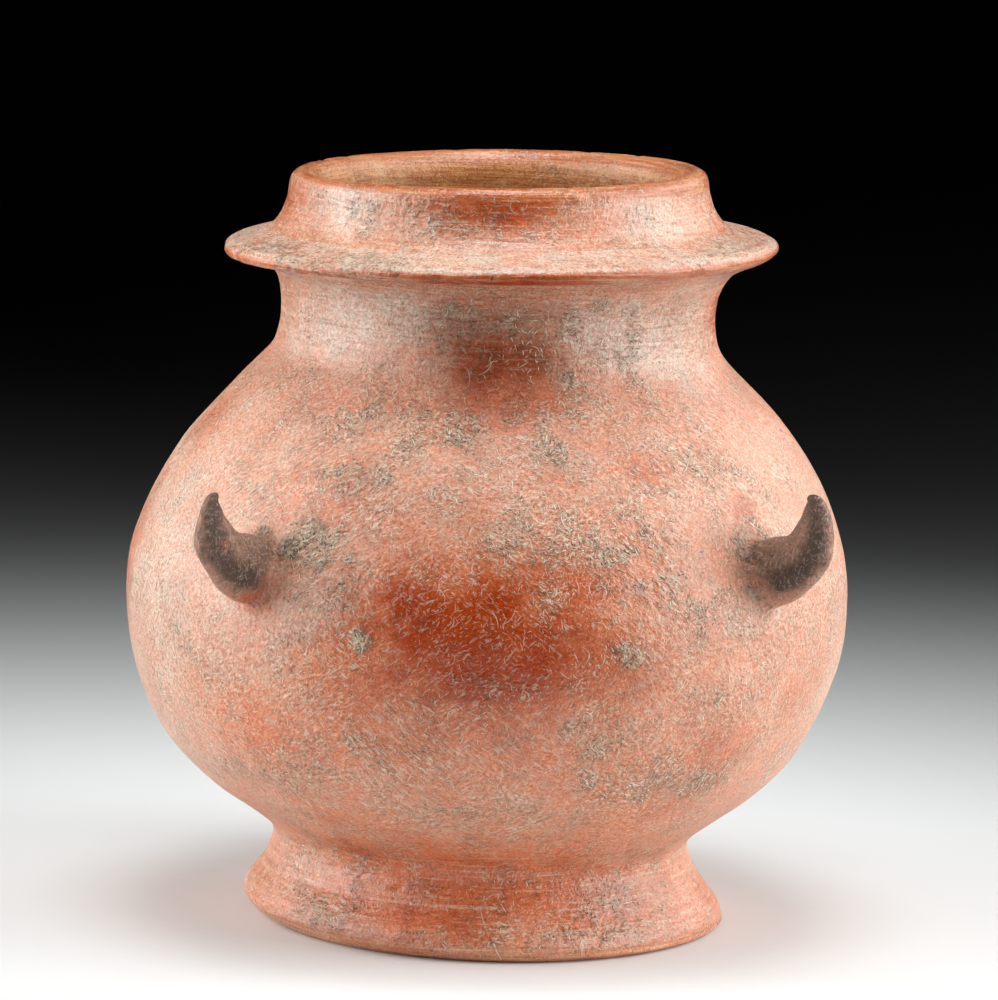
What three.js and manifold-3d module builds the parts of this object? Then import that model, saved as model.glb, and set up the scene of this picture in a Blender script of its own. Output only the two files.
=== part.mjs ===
// Hand-built redware jar: flared ring foot, squat round body, short neck, projecting flange,
// concave collar with a broad rounded lip, and four upturned solid prongs on the shoulder.
// Millimetres, +Z up, the jar stands on z = 0, front towards -Y.
import * as THREE from "three";
import { mergeVertices } from "three/addons/utils/BufferGeometryUtils.js";
import Module from "manifold-3d";

// ---- driving dimensions ----
const SEGMENTS = 48;          // facets round each ring
const SEAM = 0.2;             // each clay section stops this far short of its luting seam, along the skin
const PRONG_GAP = 0.3;        // luting gap between a prong and the shoulder
const WALL_BODY = 6.8;        // wall of bowl and shoulder
// Each prong: degrees from the front (-Y) towards +X, how high it was luted on, how far its tip
// leans outwards, sideways and upwards, and how much thinner than the pattern the tip was pulled.
const PRONGS = {
  prong_front_left: { azimuth: -38.4, lift: -1.0, lean: [1.5, -1.3, -1.6], taper: 0.72 },
  prong_front_right: { azimuth: 48.7, lift: 1.0, lean: [0.2, 0.2, -0.6], taper: 0.90 },
  prong_back_right: { azimuth: 139.0, lift: 0.7, lean: [0.4, 0.8, -0.9], taper: 0.85 },
  prong_back_left: { azimuth: -139.0, lift: -0.5, lean: [0.8, 0.5, -0.8], taper: 0.80 },
};
// Upper and lower edge of a prong (radius, height) in its own upright plane, and its half-thickness sideways, from the tip to the root.
const PRONG_TIP = [131.0, 152.3];
const PRONG_UPPER = [[129.0, 150.0], [127.8, 147.5], [127.1, 144.8], [126.0, 142.2], [124.6, 139.8], [122.5, 137.9], [119.9, 137.1], [117.1, 136.5], [114.4, 135.7], [111.7, 135.0], [108.9, 134.4], [106.1, 133.9], [103.3, 133.6], [100.6, 133.3]];
const PRONG_LOWER = [[135.7, 150.1], [138.1, 145.7], [139.4, 140.9], [139.4, 136.0], [138.1, 131.2], [135.7, 126.9], [132.5, 123.1], [128.7, 119.8], [124.5, 117.2], [119.9, 115.3], [115.1, 113.8], [110.4, 112.5], [105.6, 110.9], [101.0, 109.0]];
const PRONG_SIDE = [2.4, 3.5, 4.3, 4.8, 4.95, 5.05, 5.3, 5.75, 6.2, 6.9, 7.7, 8.7, 9.8, 10.8];

// Outer skin (radius, height) from the contact ring to the crest of the lip.
const OUTER = [
  [73.0, 0.0], [75.6, 1.0], [77.2, 2.8], [77.3, 5.2], [76.0, 8.2], [73.0, 11.8], [70.3, 15.6], [68.3, 20.0], [67.0, 25.0], [67.9, 28.0], [70.6, 30.9],
  [78.7, 37.0], [87.3, 43.0], [94.9, 50.0], [101.8, 58.0], [107.5, 68.0], [112.1, 80.0], [114.8, 92.0], [115.6, 104.0],
  [114.8, 116.0], [111.6, 128.0], [106.5, 140.0], [99.4, 152.0], [91.5, 162.0], [84.2, 170.0], [77.3, 177.0], [72.0, 183.0],
  [69.8, 189.5], [69.4, 197.0], [70.3, 203.0], [72.6, 207.6],
  [76.4, 210.8], [82.0, 212.6], [86.8, 213.6], [88.6, 215.6], [87.4, 218.0], [83.0, 219.8], [77.5, 221.1], [72.6, 223.0],
  [69.8, 226.2], [68.0, 230.2], [67.0, 234.0], [66.7, 237.2], [65.6, 239.7], [63.3, 240.9],
];
// Index in OUTER where one clay section hands over to the next.
const O_FOOT = 10, O_BELLY = 18, O_NECK = 26, O_FLANGE = 30, O_COLLAR = 38;

// Underside of the bowl inside the ring foot, from the axis outwards.
const UNDERSIDE = [[0, 15.0], [16, 15.3], [30, 16.5], [43, 18.8], [54, 22.2]];
// Inner face of the foot ring, from its seat under the bowl down to the contact ring.
const FOOT_INNER = [[56.5, 18.0], [59.0, 12.5], [62.4, 6.6], [66.0, 2.0], [68.4, 0.0]];
// Inner face of neck, flange ring and collar, ending under the crest of the lip.
const INNER_TOP = [
  [62.9, 190.0], [62.4, 197.0], [62.0, 204.0], [61.0, 210.6],
  [59.4, 216.5], [58.3, 222.0],
  [57.7, 228.0], [57.5, 233.4], [58.1, 236.6], [59.6, 238.9],
];
const I_NECK_TOP = 3, I_FLANGE_TOP = 5;

// The jar is hand-made: its rings drift sideways and lean a little with height.
const CENTRE_X = [[0, 4.2], [4, 1.8], [12, 1.4], [25, 0.5], [45, -0.3], [70, -0.8], [100, -0.1], [150, 1.5], [165, 1.9], [180, 1.0], [190, 0.7], [215, 1.0], [226, -0.2], [243, -0.5]];
const LEAN = [[0, 0], [4, -0.024], [10, -0.02], [25, -0.008], [50, -0.003], [100, -0.008], [150, -0.01], [195, 0], [206, 0], [211, 0.008], [214.5, 0.031], [243, 0.03]];

function table(rows, z) {
  if (z <= rows[0][0]) return rows[0][1];
  for (let i = 1; i < rows.length; i++) {
    if (z <= rows[i][0]) {
      const u = (z - rows[i - 1][0]) / (rows[i][0] - rows[i - 1][0]);
      const s = u * u * (3 - 2 * u);
      return rows[i - 1][1] * (1 - s) + rows[i][1] * s;
    }
  }
  return rows[rows.length - 1][1];
}

// Point of the hand-made jar for a point (radius, angle, height) of the ideal one.
function place(r, angle, z) {
  const c = Math.cos(angle), s = Math.sin(angle);
  return [table(CENTRE_X, z) + r * c, r * s, z + r * c * table(LEAN, z)];
}

// Closed solid of revolution of a loop given anticlockwise in (radius, height); radius 0 collapses to one vertex.
function revolve(loop) {
  const verts = [], tris = [], first = [];
  for (const [r, z] of loop) {
    first.push(verts.length / 3);
    if (r < 1e-9) verts.push(...place(0, 0, z));
    else for (let j = 0; j < SEGMENTS; j++) verts.push(...place(r, (2 * Math.PI * j) / SEGMENTS, z));
  }
  for (let i = 0; i < loop.length; i++) {
    const k = (i + 1) % loop.length;
    const axisA = loop[i][0] < 1e-9, axisB = loop[k][0] < 1e-9;
    if (axisA && axisB) continue;
    for (let j = 0; j < SEGMENTS; j++) {
      const j1 = (j + 1) % SEGMENTS;
      const a = first[i] + (axisA ? 0 : j), a1 = first[i] + (axisA ? 0 : j1);
      const b = first[k] + (axisB ? 0 : j), b1 = first[k] + (axisB ? 0 : j1);
      if (!axisA) tris.push(a, a1, b1);
      if (!axisB) tris.push(a, b1, b);
    }
  }
  const g = new THREE.BufferGeometry();
  g.setAttribute("position", new THREE.BufferAttribute(new Float32Array(verts), 3));
  g.setIndex(tris);
  g.computeVertexNormals();
  return g;
}

const towards = (p, q, d) => {
  const l = Math.hypot(q[0] - p[0], q[1] - p[1]);
  return [p[0] + ((q[0] - p[0]) / l) * d, p[1] + ((q[1] - p[1]) / l) * d];
};

// Inner skin of the body: the outer skin moved inwards by the wall.
function inwards(line, wall) {
  return line.map((p, i) => {
    const a = line[Math.max(i - 1, 0)], b = line[Math.min(i + 1, line.length - 1)];
    const l = Math.hypot(b[0] - a[0], b[1] - a[1]);
    return [Math.max(p[0] - ((b[1] - a[1]) / l) * wall, 0), p[1] + ((b[0] - a[0]) / l) * wall];
  });
}

const outer = (from, to) => OUTER.slice(from, to + 1);
const skin = [...UNDERSIDE, [62.6, 26.0], OUTER[O_FOOT], ...outer(O_FOOT + 1, O_NECK)];
const inner = inwards(skin, WALL_BODY);
inner[0][0] = 0;
const BELLY_IN = skin.length - 1 - (O_NECK - O_BELLY) - 1;      // inner end of the belly seam sits one row lower
const innerBowl = inner.slice(0, BELLY_IN + 1);
const innerShoulder = inner.slice(BELLY_IN, skin.length);

// ---- foot_ring: flared ring with a rounded edge, seated under the bowl ----
const footOuter = outer(0, O_FOOT);
footOuter[O_FOOT] = towards(footOuter[O_FOOT], footOuter[O_FOOT - 1], 2 * SEAM);
const footSeat = [[62.75, 25.65], [54.3, 21.9]];
const footRing = revolve([...footOuter, ...footSeat, ...FOOT_INNER]);

// ---- lower_bowl: closed round bottom up to the belly ----
const bowlOuter = [...UNDERSIDE, [62.6, 26.0], OUTER[O_FOOT], ...outer(O_FOOT + 1, O_BELLY)];
const lastBowl = bowlOuter.length - 1;
bowlOuter[lastBowl] = towards(bowlOuter[lastBowl], bowlOuter[lastBowl - 1], SEAM);
const bowlInner = [...innerBowl];
bowlInner[bowlInner.length - 1] = towards(bowlInner[bowlInner.length - 1], bowlInner[bowlInner.length - 2], SEAM);
const lowerBowl = revolve([...bowlOuter, ...bowlInner.reverse()]);

// ---- a wall section between two bevelled seams ----
function section(outerLine, innerLine, openBelow, openAbove) {
  const o = [...outerLine], n = [...innerLine];
  if (openBelow) { o[0] = towards(o[0], o[1], SEAM); n[0] = towards(n[0], n[1], SEAM); }
  if (openAbove) {
    o[o.length - 1] = towards(o[o.length - 1], o[o.length - 2], SEAM);
    n[n.length - 1] = towards(n[n.length - 1], n[n.length - 2], SEAM);
  }
  return revolve([...o, ...n.reverse()]);
}

const neckFoot = innerShoulder[innerShoulder.length - 1];
const upperShoulder = section(outer(O_BELLY, O_NECK), innerShoulder, true, true);
const neck = section(outer(O_NECK, O_FLANGE), [neckFoot, ...INNER_TOP.slice(0, I_NECK_TOP + 1)], true, true);
const rimFlange = section(outer(O_FLANGE, O_COLLAR), INNER_TOP.slice(I_NECK_TOP, I_FLANGE_TOP + 1), true, true);
const rimCollar = section(outer(O_COLLAR, OUTER.length - 1), INNER_TOP.slice(I_FLANGE_TOP), true, false);

// ---- prongs: solid tapering lugs that leave the shoulder and curl upwards ----
const wasm = await Module();
wasm.setup();
function solid(geometry) {
  const g = geometry.clone();
  g.deleteAttribute("normal");
  g.deleteAttribute("uv");
  const m = mergeVertices(g, 1e-4);
  return new wasm.Manifold(new wasm.Mesh({
    numProp: 3,
    vertProperties: new Float32Array(m.attributes.position.array),
    triVerts: new Uint32Array(m.index.array),
  }));
}
function geometryOf(manifold) {
  const mesh = manifold.getMesh();
  const g = new THREE.BufferGeometry();
  g.setAttribute("position", new THREE.BufferAttribute(new Float32Array(mesh.vertProperties), 3));
  g.setIndex(Array.from(mesh.triVerts));
  g.computeVertexNormals();
  return g;
}

function ease(from, to, x) {
  const u = Math.min(Math.max((x - from) / (to - from), 0), 1);
  return u * u * (3 - 2 * u);
}

function prongBlank({ azimuth, lift, lean, taper }) {
  const around = 20, phi = (azimuth * Math.PI) / 180, verts = [], tris = [];
  const put = (r, side, z, bow) => {
    const out = r + lean[0] * bow, along = side + lean[1] * bow;
    verts.push(out * Math.sin(phi) + along * Math.cos(phi), -out * Math.cos(phi) + along * Math.sin(phi), z + lift + lean[2] * bow);
  };
  put(PRONG_TIP[0], 0, PRONG_TIP[1], 1);
  PRONG_UPPER.forEach(([ru, zu], i) => {
    const [rl, zl] = PRONG_LOWER[i];
    const slim = taper + (1 - taper) * ease(0, 3.6, i), bow = ease(6.5, 0, i);
    for (let j = 0; j < around; j++) {
      const a = (2 * Math.PI * j) / around, c = Math.cos(a) * slim;
      put((rl + ru) / 2 + ((rl - ru) / 2) * c, PRONG_SIDE[i] * Math.sin(a) * slim, (zl + zu) / 2 + ((zl - zu) / 2) * c, bow);
    }
  });
  const last = PRONG_UPPER.length - 1, end = 1 + last * around, root = verts.length / 3;
  put((PRONG_UPPER[last][0] + PRONG_LOWER[last][0]) / 2, 0, (PRONG_UPPER[last][1] + PRONG_LOWER[last][1]) / 2, 0);
  for (let j = 0; j < around; j++) {
    const j1 = (j + 1) % around;
    tris.push(0, 1 + j, 1 + j1);
    for (let i = 0; i < last; i++) {
      const a = 1 + i * around + j, a1 = 1 + i * around + j1, b = a + around, b1 = a1 + around;
      tris.push(a, b1, a1, a, b, b1);
    }
    tris.push(end + j1, end + j, root);
  }
  const g = new THREE.BufferGeometry();
  g.setAttribute("position", new THREE.BufferAttribute(new Float32Array(verts), 3));
  g.setIndex(tris);
  return g;
}

// The seat of every prong is the shoulder's own skin, stood off by the luting gap.
const seatLine = inwards(outer(O_FOOT + 3, O_NECK), -PRONG_GAP);
const seat = solid(revolve([[0, seatLine[0][1]], ...seatLine, [0, seatLine[seatLine.length - 1][1]]]));

function slip(name, color) {
  return new THREE.MeshStandardMaterial({ name, color, roughness: 0.42, metalness: 0 });
}
const BODY_SLIP = 0xb0654b, FOOT_SLIP = 0xa85c44, RIM_SLIP = 0xb4603f, PRONG_CLAY = 0x6f5146;

const jar = new THREE.Group();
jar.name = "redware_jar";
function add(name, geometry, color) {
  const mesh = new THREE.Mesh(geometry, slip(name, color));
  mesh.name = name;
  jar.add(mesh);
}
add("foot_ring", footRing, FOOT_SLIP);
add("lower_bowl", lowerBowl, BODY_SLIP);
add("upper_shoulder", upperShoulder, BODY_SLIP);
add("neck", neck, BODY_SLIP);
add("rim_flange", rimFlange, RIM_SLIP);
add("rim_collar", rimCollar, RIM_SLIP);
for (const [name, shape] of Object.entries(PRONGS)) {
  const blank = solid(prongBlank(shape));
  add(name, geometryOf(blank.subtract(seat)), PRONG_CLAY);
}

export default jar;
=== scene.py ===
import math

import bpy
import numpy as np
from mathutils import Matrix, Vector


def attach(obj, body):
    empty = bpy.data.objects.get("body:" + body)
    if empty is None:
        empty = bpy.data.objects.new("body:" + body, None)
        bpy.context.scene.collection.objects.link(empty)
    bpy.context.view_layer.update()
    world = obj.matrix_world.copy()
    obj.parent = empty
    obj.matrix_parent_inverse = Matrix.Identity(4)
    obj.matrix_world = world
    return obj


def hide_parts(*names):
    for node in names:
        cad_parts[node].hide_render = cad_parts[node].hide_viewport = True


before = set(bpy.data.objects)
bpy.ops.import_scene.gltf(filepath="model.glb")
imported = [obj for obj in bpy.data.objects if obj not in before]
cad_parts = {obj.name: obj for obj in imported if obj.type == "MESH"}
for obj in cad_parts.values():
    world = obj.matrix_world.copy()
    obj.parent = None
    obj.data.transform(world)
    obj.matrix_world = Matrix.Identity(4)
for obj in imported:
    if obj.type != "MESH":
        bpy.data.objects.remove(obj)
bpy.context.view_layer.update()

MM = 0.001

# --------------------------------------------------------------------------- camera
# 998 x 1000 frame, long lens: 6000 px focal length is a 216 mm lens on a 36 mm sensor.
PITCH, ROLL = math.radians(8.85), math.radians(1.9)
TARGET = Vector((0.0028634, 0.0, 0.134208))
DISTANCE = 1.92
fwd = Vector((0.0, math.cos(PITCH), -math.sin(PITCH)))
right = Vector((1.0, 0.0, 0.0))
up = right.cross(fwd)
cam_right = right * math.cos(ROLL) + up * math.sin(ROLL)
cam_up = up * math.cos(ROLL) - right * math.sin(ROLL)
cam = bpy.data.objects.new("camera", bpy.data.cameras.new("camera"))
bpy.context.scene.collection.objects.link(cam)
cam.data.sensor_width, cam.data.lens = 36.0, 216.0
cam.data.clip_start, cam.data.clip_end = 0.05, 60.0
cam.matrix_world = Matrix([
    [cam_right.x, cam_up.x, -fwd.x, (TARGET - fwd * DISTANCE).x],
    [cam_right.y, cam_up.y, -fwd.y, (TARGET - fwd * DISTANCE).y],
    [cam_right.z, cam_up.z, -fwd.z, (TARGET - fwd * DISTANCE).z],
    [0, 0, 0, 1],
])
bpy.context.scene.camera = cam

# --------------------------------------------------------------------------- the jar's lines, in millimetres
OUTER = [
    [73.0, 0.0], [75.6, 1.0], [77.2, 2.8], [77.3, 5.2], [76.0, 8.2], [73.0, 11.8], [70.3, 15.6], [68.3, 20.0], [67.0, 25.0], [67.9, 28.0], [70.6, 30.9],
    [78.7, 37.0], [87.3, 43.0], [94.9, 50.0], [101.8, 58.0], [107.5, 68.0], [112.1, 80.0], [114.8, 92.0], [115.6, 104.0],
    [114.8, 116.0], [111.6, 128.0], [106.5, 140.0], [99.4, 152.0], [91.5, 162.0], [84.2, 170.0], [77.3, 177.0], [72.0, 183.0],
    [69.8, 189.5], [69.4, 197.0], [70.3, 203.0], [72.6, 207.6],
    [76.4, 210.8], [82.0, 212.6], [86.8, 213.6], [88.6, 215.6], [87.4, 218.0], [83.0, 219.8], [77.5, 221.1], [72.6, 223.0],
    [69.8, 226.2], [68.0, 230.2], [67.0, 234.0], [66.7, 237.2], [65.6, 239.7], [63.3, 240.9],
]
O_FOOT, O_BELLY, O_NECK, O_FLANGE, O_COLLAR = 10, 18, 26, 30, 38
UNDERSIDE = [[0, 15.0], [16, 15.3], [30, 16.5], [43, 18.8], [54, 22.2]]
FOOT_INNER = [[56.5, 18.0], [59.0, 12.5], [62.4, 6.6], [66.0, 2.0], [68.4, 0.0]]
INNER_TOP = [
    [62.9, 190.0], [62.4, 197.0], [62.0, 204.0], [61.0, 210.6], [59.4, 216.5], [58.3, 222.0],
    [57.7, 228.0], [57.5, 233.4], [58.1, 236.6], [59.6, 238.9],
]
CENTRE_X = [[0, 4.2], [4, 1.8], [12, 1.4], [25, 0.5], [45, -0.3], [70, -0.8], [100, -0.1], [150, 1.5], [165, 1.9], [180, 1.0], [190, 0.7], [215, 1.0], [226, -0.2], [243, -0.5]]
LEAN = [[0, 0], [4, -0.024], [10, -0.02], [25, -0.008], [50, -0.003], [100, -0.008], [150, -0.01], [195, 0], [206, 0], [211, 0.008], [214.5, 0.031], [243, 0.03]]
WALL = 6.8


def table(rows, z):
    """Smooth steps between rows of (height, value)."""
    zs, vs = np.array(rows, float).T
    z = np.asarray(z, float)
    i = np.clip(np.searchsorted(zs, z) - 1, 0, len(zs) - 2)
    u = np.clip((z - zs[i]) / (zs[i + 1] - zs[i]), 0, 1)
    s = u * u * (3 - 2 * u)
    return vs[i] * (1 - s) + vs[i + 1] * s


def place(r, angle, z):
    c, s = np.cos(angle), np.sin(angle)
    return np.stack([table(CENTRE_X, z) + r * c, r * s, z + r * c * table(LEAN, z)], -1)


def curve(points, step, smooth=0.0):
    """Points every step mm along a centripetal Catmull-Rom curve through the given (radius, height) points. Also says where each given point lies on it."""
    p = np.array(points, float)
    q = np.concatenate([[2 * p[0] - p[1]], p, [2 * p[-1] - p[-2]]])
    fine, marks = [], []
    for i in range(1, len(q) - 2):
        p0, p1, p2, p3 = q[i - 1 : i + 3]
        t0 = 0.0
        t1 = t0 + np.linalg.norm(p1 - p0) ** 0.5
        t2 = t1 + np.linalg.norm(p2 - p1) ** 0.5
        t3 = t2 + np.linalg.norm(p3 - p2) ** 0.5
        n = max(int(np.linalg.norm(p2 - p1) / 0.1), 4)
        t = np.linspace(t1, t2, n, endpoint=False)[:, None]
        a1 = (t1 - t) / (t1 - t0) * p0 + (t - t0) / (t1 - t0) * p1
        a2 = (t2 - t) / (t2 - t1) * p1 + (t - t1) / (t2 - t1) * p2
        a3 = (t3 - t) / (t3 - t2) * p2 + (t - t2) / (t3 - t2) * p3
        b1 = (t2 - t) / (t2 - t0) * a1 + (t - t0) / (t2 - t0) * a2
        b2 = (t3 - t) / (t3 - t1) * a2 + (t - t1) / (t3 - t1) * a3
        marks.append(sum(len(f) for f in fine))
        fine.append((t2 - t) / (t2 - t1) * b1 + (t - t1) / (t2 - t1) * b2)
    marks.append(sum(len(f) for f in fine))
    line = np.concatenate(fine + [p[-1:]])
    arc = np.concatenate([[0], np.cumsum(np.linalg.norm(np.diff(line, axis=0), axis=1))])
    n = int(round(arc[-1] / step))
    want = np.linspace(0, arc[-1], n + 1)
    out = np.stack([np.interp(want, arc, line[:, k]) for k in (0, 1)], 1)
    if smooth:
        half = int(4 * smooth / step)
        w = np.exp(-0.5 * (np.arange(-half, half + 1) * step / smooth) ** 2)
        w /= w.sum()
        ext = np.concatenate([2 * out[0] - out[half:0:-1], out, 2 * out[-1] - out[-2 : -half - 2 : -1]])
        out = np.stack([np.convolve(ext[:, k], w, "valid") for k in (0, 1)], 1)
    return out, [int(round(arc[m] / arc[-1] * n)) for m in marks]


def inwards(line, wall):
    a = np.concatenate([line[:1], line[:-1]])
    b = np.concatenate([line[1:], line[-1:]])
    d = b - a
    d /= np.linalg.norm(d, axis=1, keepdims=True)
    return line + np.stack([-d[:, 1], d[:, 0]], 1) * wall


# --------------------------------------------------------------------------- seeded gradient noise
class Noise:
    def __init__(self, seed):
        rng = np.random.default_rng(seed)
        self.perm = rng.permutation(256)
        g = rng.normal(size=(256, 3))
        self.grad = g / np.linalg.norm(g, axis=1, keepdims=True)

    def __call__(self, p):
        p = np.asarray(p, float)
        i = np.floor(p).astype(int)
        f = p - i
        u = f * f * f * (f * (f * 6 - 15) + 10)
        total = 0.0
        for dx in (0, 1):
            for dy in (0, 1):
                for dz in (0, 1):
                    h = self.perm[(self.perm[(self.perm[(i[..., 0] + dx) & 255] + i[..., 1] + dy) & 255] + i[..., 2] + dz) & 255]
                    d = f - np.array([dx, dy, dz])
                    w = (u[..., 0] if dx else 1 - u[..., 0]) * (u[..., 1] if dy else 1 - u[..., 1]) * (u[..., 2] if dz else 1 - u[..., 2])
                    total = total + w * (self.grad[h] * d).sum(-1)
        return total * 1.6

    def fractal(self, p, octaves=4, gain=0.5):
        total, amp = 0.0, 1.0
        for k in range(octaves):
            total = total + amp * self(np.asarray(p) * 2.0**k + 17.3 * k)
            amp *= gain
        return total


N1, N2, N3, N4, N5 = (Noise(s) for s in (11, 23, 37, 41, 59))
ROUND = 640  # points round every ring
ANGLE = np.arange(ROUND) * 2 * np.pi / ROUND
STEP = 1.0
INSET = 0.24  # the skin lies this far inside the faceted solid's line, so that its swells stay in the same box


def smooth(a, b, x):
    t = np.clip((x - a) / (b - a), 0, 1)
    return t * t * (3 - 2 * t)


line, marks = curve(OUTER, STEP, 0.9)
line = inwards(line, INSET)
line[:, 1] = np.maximum(line[:, 1], 0.0)
line[0] = [73.0, 0.0]
line_arc = np.concatenate([[0], np.cumsum(np.linalg.norm(np.diff(line, axis=0), axis=1))])


def skin_points(prof):
    return place(prof[:, :1], ANGLE[None, :], prof[:, 1:])


def azimuth(p):
    """Azimuth from the front (-Y) towards +X, in degrees, of points in millimetres."""
    return np.degrees(np.arctan2(p[..., 0] - 0.3, -p[..., 1]))


_chip = np.random.default_rng(7)
# Small chips on the edge of the flange and of the lip: azimuth, half-width (degrees), depth (mm).
FLANGE_CHIPS = [(float(a), float(w), float(d)) for a, w, d in zip(_chip.uniform(-180, 180, 26), _chip.uniform(0.8, 3.2, 26), _chip.uniform(0.15, 0.75, 26), strict=True)]
LIP_CHIPS = [(float(a), float(w), float(d)) for a, w, d in zip(_chip.uniform(-180, 180, 14), _chip.uniform(0.8, 2.6, 14), _chip.uniform(0.1, 0.4, 14), strict=True)]
# Shallow dents and lost grains of temper: azimuth, height, half-width, half-height (mm), turn, depth.
_pit = np.random.default_rng(19)
PITS = [
    (float(a), float(z), float(w), float(w * e), float(t), float(d))
    for a, z, w, e, t, d in zip(
        _pit.uniform(-180, 180, 420), _pit.uniform(4, 236, 420), _pit.uniform(0.9, 2.6, 420), _pit.uniform(0.35, 0.9, 420), _pit.uniform(-60, 60, 420), _pit.uniform(0.08, 0.34, 420) ** 1.0, strict=True
    )
] + [
    (-14.5, 136.6, 3.6, 0.9, 8, 0.40), (-11.4, 133.2, 2.4, 1.1, 35, 0.38), (-13.2, 114.0, 3.2, 1.2, 45, 0.34), (-24.4, 120.0, 1.0, 1.0, 0, 0.7), (-29.0, 184.0, 1.8, 2.2, 0, 0.5),
    (-5.9, 167.2, 4.8, 1.4, 30, 0.36), (18.1, 183.1, 1.4, 2.6, 0, 0.5), (10.6, 164.4, 1.6, 4.6, -20, 0.38), (-24.5, 166.8, 2.6, 1.1, 20, 0.4), (-19.1, 107.6, 3.4, 2.8, 0, 0.25),
    (38.7, 157.0, 4.6, 1.0, -45, 0.3), (52.0, 119.0, 2.2, 1.0, 60, 0.4), (47.0, 112.5, 3.0, 1.0, 20, 0.35),
]


def swell(p, near=None):
    """How far the outer skin stands off its ideal line at points (mm): the potter's unevenness, tool lines and wear."""
    q = np.asarray(p, float)
    low = N1(q / np.array([52.0, 52.0, 46.0]))
    mid = N2(q / np.array([24.0, 24.0, 15.0]) + 5.0)
    rings = N3(q / np.array([70.0, 70.0, 4.6]) + 9.0)
    thin = N5(q / np.array([60.0, 60.0, 2.1]) + 1.0)
    fine = N4(q / np.array([7.0, 7.0, 5.0]) + 3.0)
    rough = N1(q / np.array([2.9, 2.9, 2.6]) + 21.0)
    z = q[..., 2]
    az = azimuth(q)
    r = np.hypot(q[..., 0], q[..., 1])
    turned = np.clip((z - 178) / 12, 0, 1) + np.clip((34 - z) / 8, 0, 1)
    still = 0.2 + 0.8 * np.clip(z / 8, 0, 1)
    out = still * (0.27 * low + 0.14 * mid + (0.03 + 0.075 * turned) * rings + 0.035 * turned * thin + 0.045 * fine + 0.030 * rough)
    # the foot's bead: a scored line above it, open into a crack on the left
    groove = np.exp(-(((z - 8.7 - 0.5 * np.sin(np.radians(az * 3))) / 0.9) ** 2))
    crack = np.exp(-(((z - 8.3 - 0.6 * np.sin(np.radians(az * 9))) / 0.75) ** 2)) * smooth(-80, -74, az) * smooth(-44, -50, az)
    out = out - still * (0.16 * groove * (0.6 + 0.4 * np.sin(np.radians(az * 2 + 40))) + 0.75 * crack)
    # two scored lines under the flange
    out = out - 0.10 * np.exp(-(((z - 205.2) / 0.8) ** 2)) * smooth(75, 40, np.abs(az)) - 0.08 * np.exp(-(((z - 201.9) / 0.8) ** 2))
    lip = smooth(236.5, 239.0, z)
    rim = smooth(84.5, 87.0, r) * smooth(211.0, 212.5, z)
    for a, w, d in FLANGE_CHIPS:
        out = out - rim * d * np.exp(-(((az - a + 180) % 360 - 180) / w) ** 2)
    for a, w, d in LIP_CHIPS:
        out = out - lip * d * np.exp(-(((az - a + 180) % 360 - 180) / w) ** 2)
    return out


P = skin_points(line)


def grid_normals(g):
    """Unit normals of a (rows, ROUND, 3) grid, outward for rows that run upwards on the outside."""
    du = np.gradient(g, axis=0)
    dv = np.roll(g, -1, axis=1) - np.roll(g, 1, axis=1)
    n = np.cross(dv, du)
    return n / np.maximum(np.linalg.norm(n, axis=-1, keepdims=True), 1e-12)


SMOOTH_N = grid_normals(P)
offset = swell(P)
flat = P.reshape(-1, 3)


def frame_at(az, z):
    """Nearest point of the ideal skin to an azimuth and height, with its axes: along the ring, up the skin, and off it."""
    j = int(round(((az - 90.0) % 360.0) / 360.0 * ROUND)) % ROUND
    i = int(np.argmin(np.abs(P[:, j, 2] - z)))
    n = SMOOTH_N[i, j]
    along = np.cross([0.0, 0.0, 1.0], n)
    along /= np.linalg.norm(along)
    return P[i, j], along, np.cross(n, along), n, i


pit_frames = []
for az_, z_, w_, h_, t_, d_ in PITS:
    c, eu, ev, en, row = frame_at(az_, z_)
    t_ = math.radians(t_)
    pit_frames.append((c, (eu * math.cos(t_) + ev * math.sin(t_)) / w_, (-eu * math.sin(t_) + ev * math.cos(t_)) / h_, en, max(w_, h_) * 2.4, d_, row))


def pits(p, rows_span=None):
    """Depth of the dents at points p (..., 3)."""
    out = np.zeros(p.shape[:-1])
    for c, a, b, n, reach, depth, row in pit_frames:
        if rows_span is not None:
            k = int(reach / STEP) + 2
            lo, hi = max(row - k, 0), min(row + k + 1, len(p))
            sub, tgt = p[lo:hi], out[lo:hi]
        else:
            sub, tgt = p, out
        d = sub - c
        m = (np.abs(d) < reach).all(-1)
        if not m.any():
            continue
        dm = d[m]
        q = (dm @ a) ** 2 + (dm @ b) ** 2
        tgt[m] = np.maximum(tgt[m], depth * np.exp(-(q**1.5)))
    return out


offset = offset - pits(P, True)
outer_grid = P + SMOOTH_N * offset[..., None]
outer_grid[..., 2] = np.maximum(outer_grid[..., 2], 0.0)
outer_grid[0, :, 2] = 0.0
outer_n = grid_normals(outer_grid)


def skin_at(arc, theta):
    """Point of the finished outer skin and its normal at arc lengths along the line and angles round it."""
    def at(s, t):
        r, z = np.interp(s, line_arc, line[:, 0]), np.interp(s, line_arc, line[:, 1])
        return place(r, t, z)

    def normal(f, s, t, e=0.6):
        du = f(s + e, t) - f(s - e, t)
        dv = f(s, t + e / 100.0) - f(s, t - e / 100.0)
        n = np.cross(dv, du)
        return n / np.linalg.norm(n, axis=-1, keepdims=True)

    def real(s, t):
        q = at(s, t)
        return q + normal(at, s, t) * (swell(q) - pits(q))[..., None]

    return real(arc, theta), normal(real, arc, theta), normal(at, arc, theta)
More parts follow.
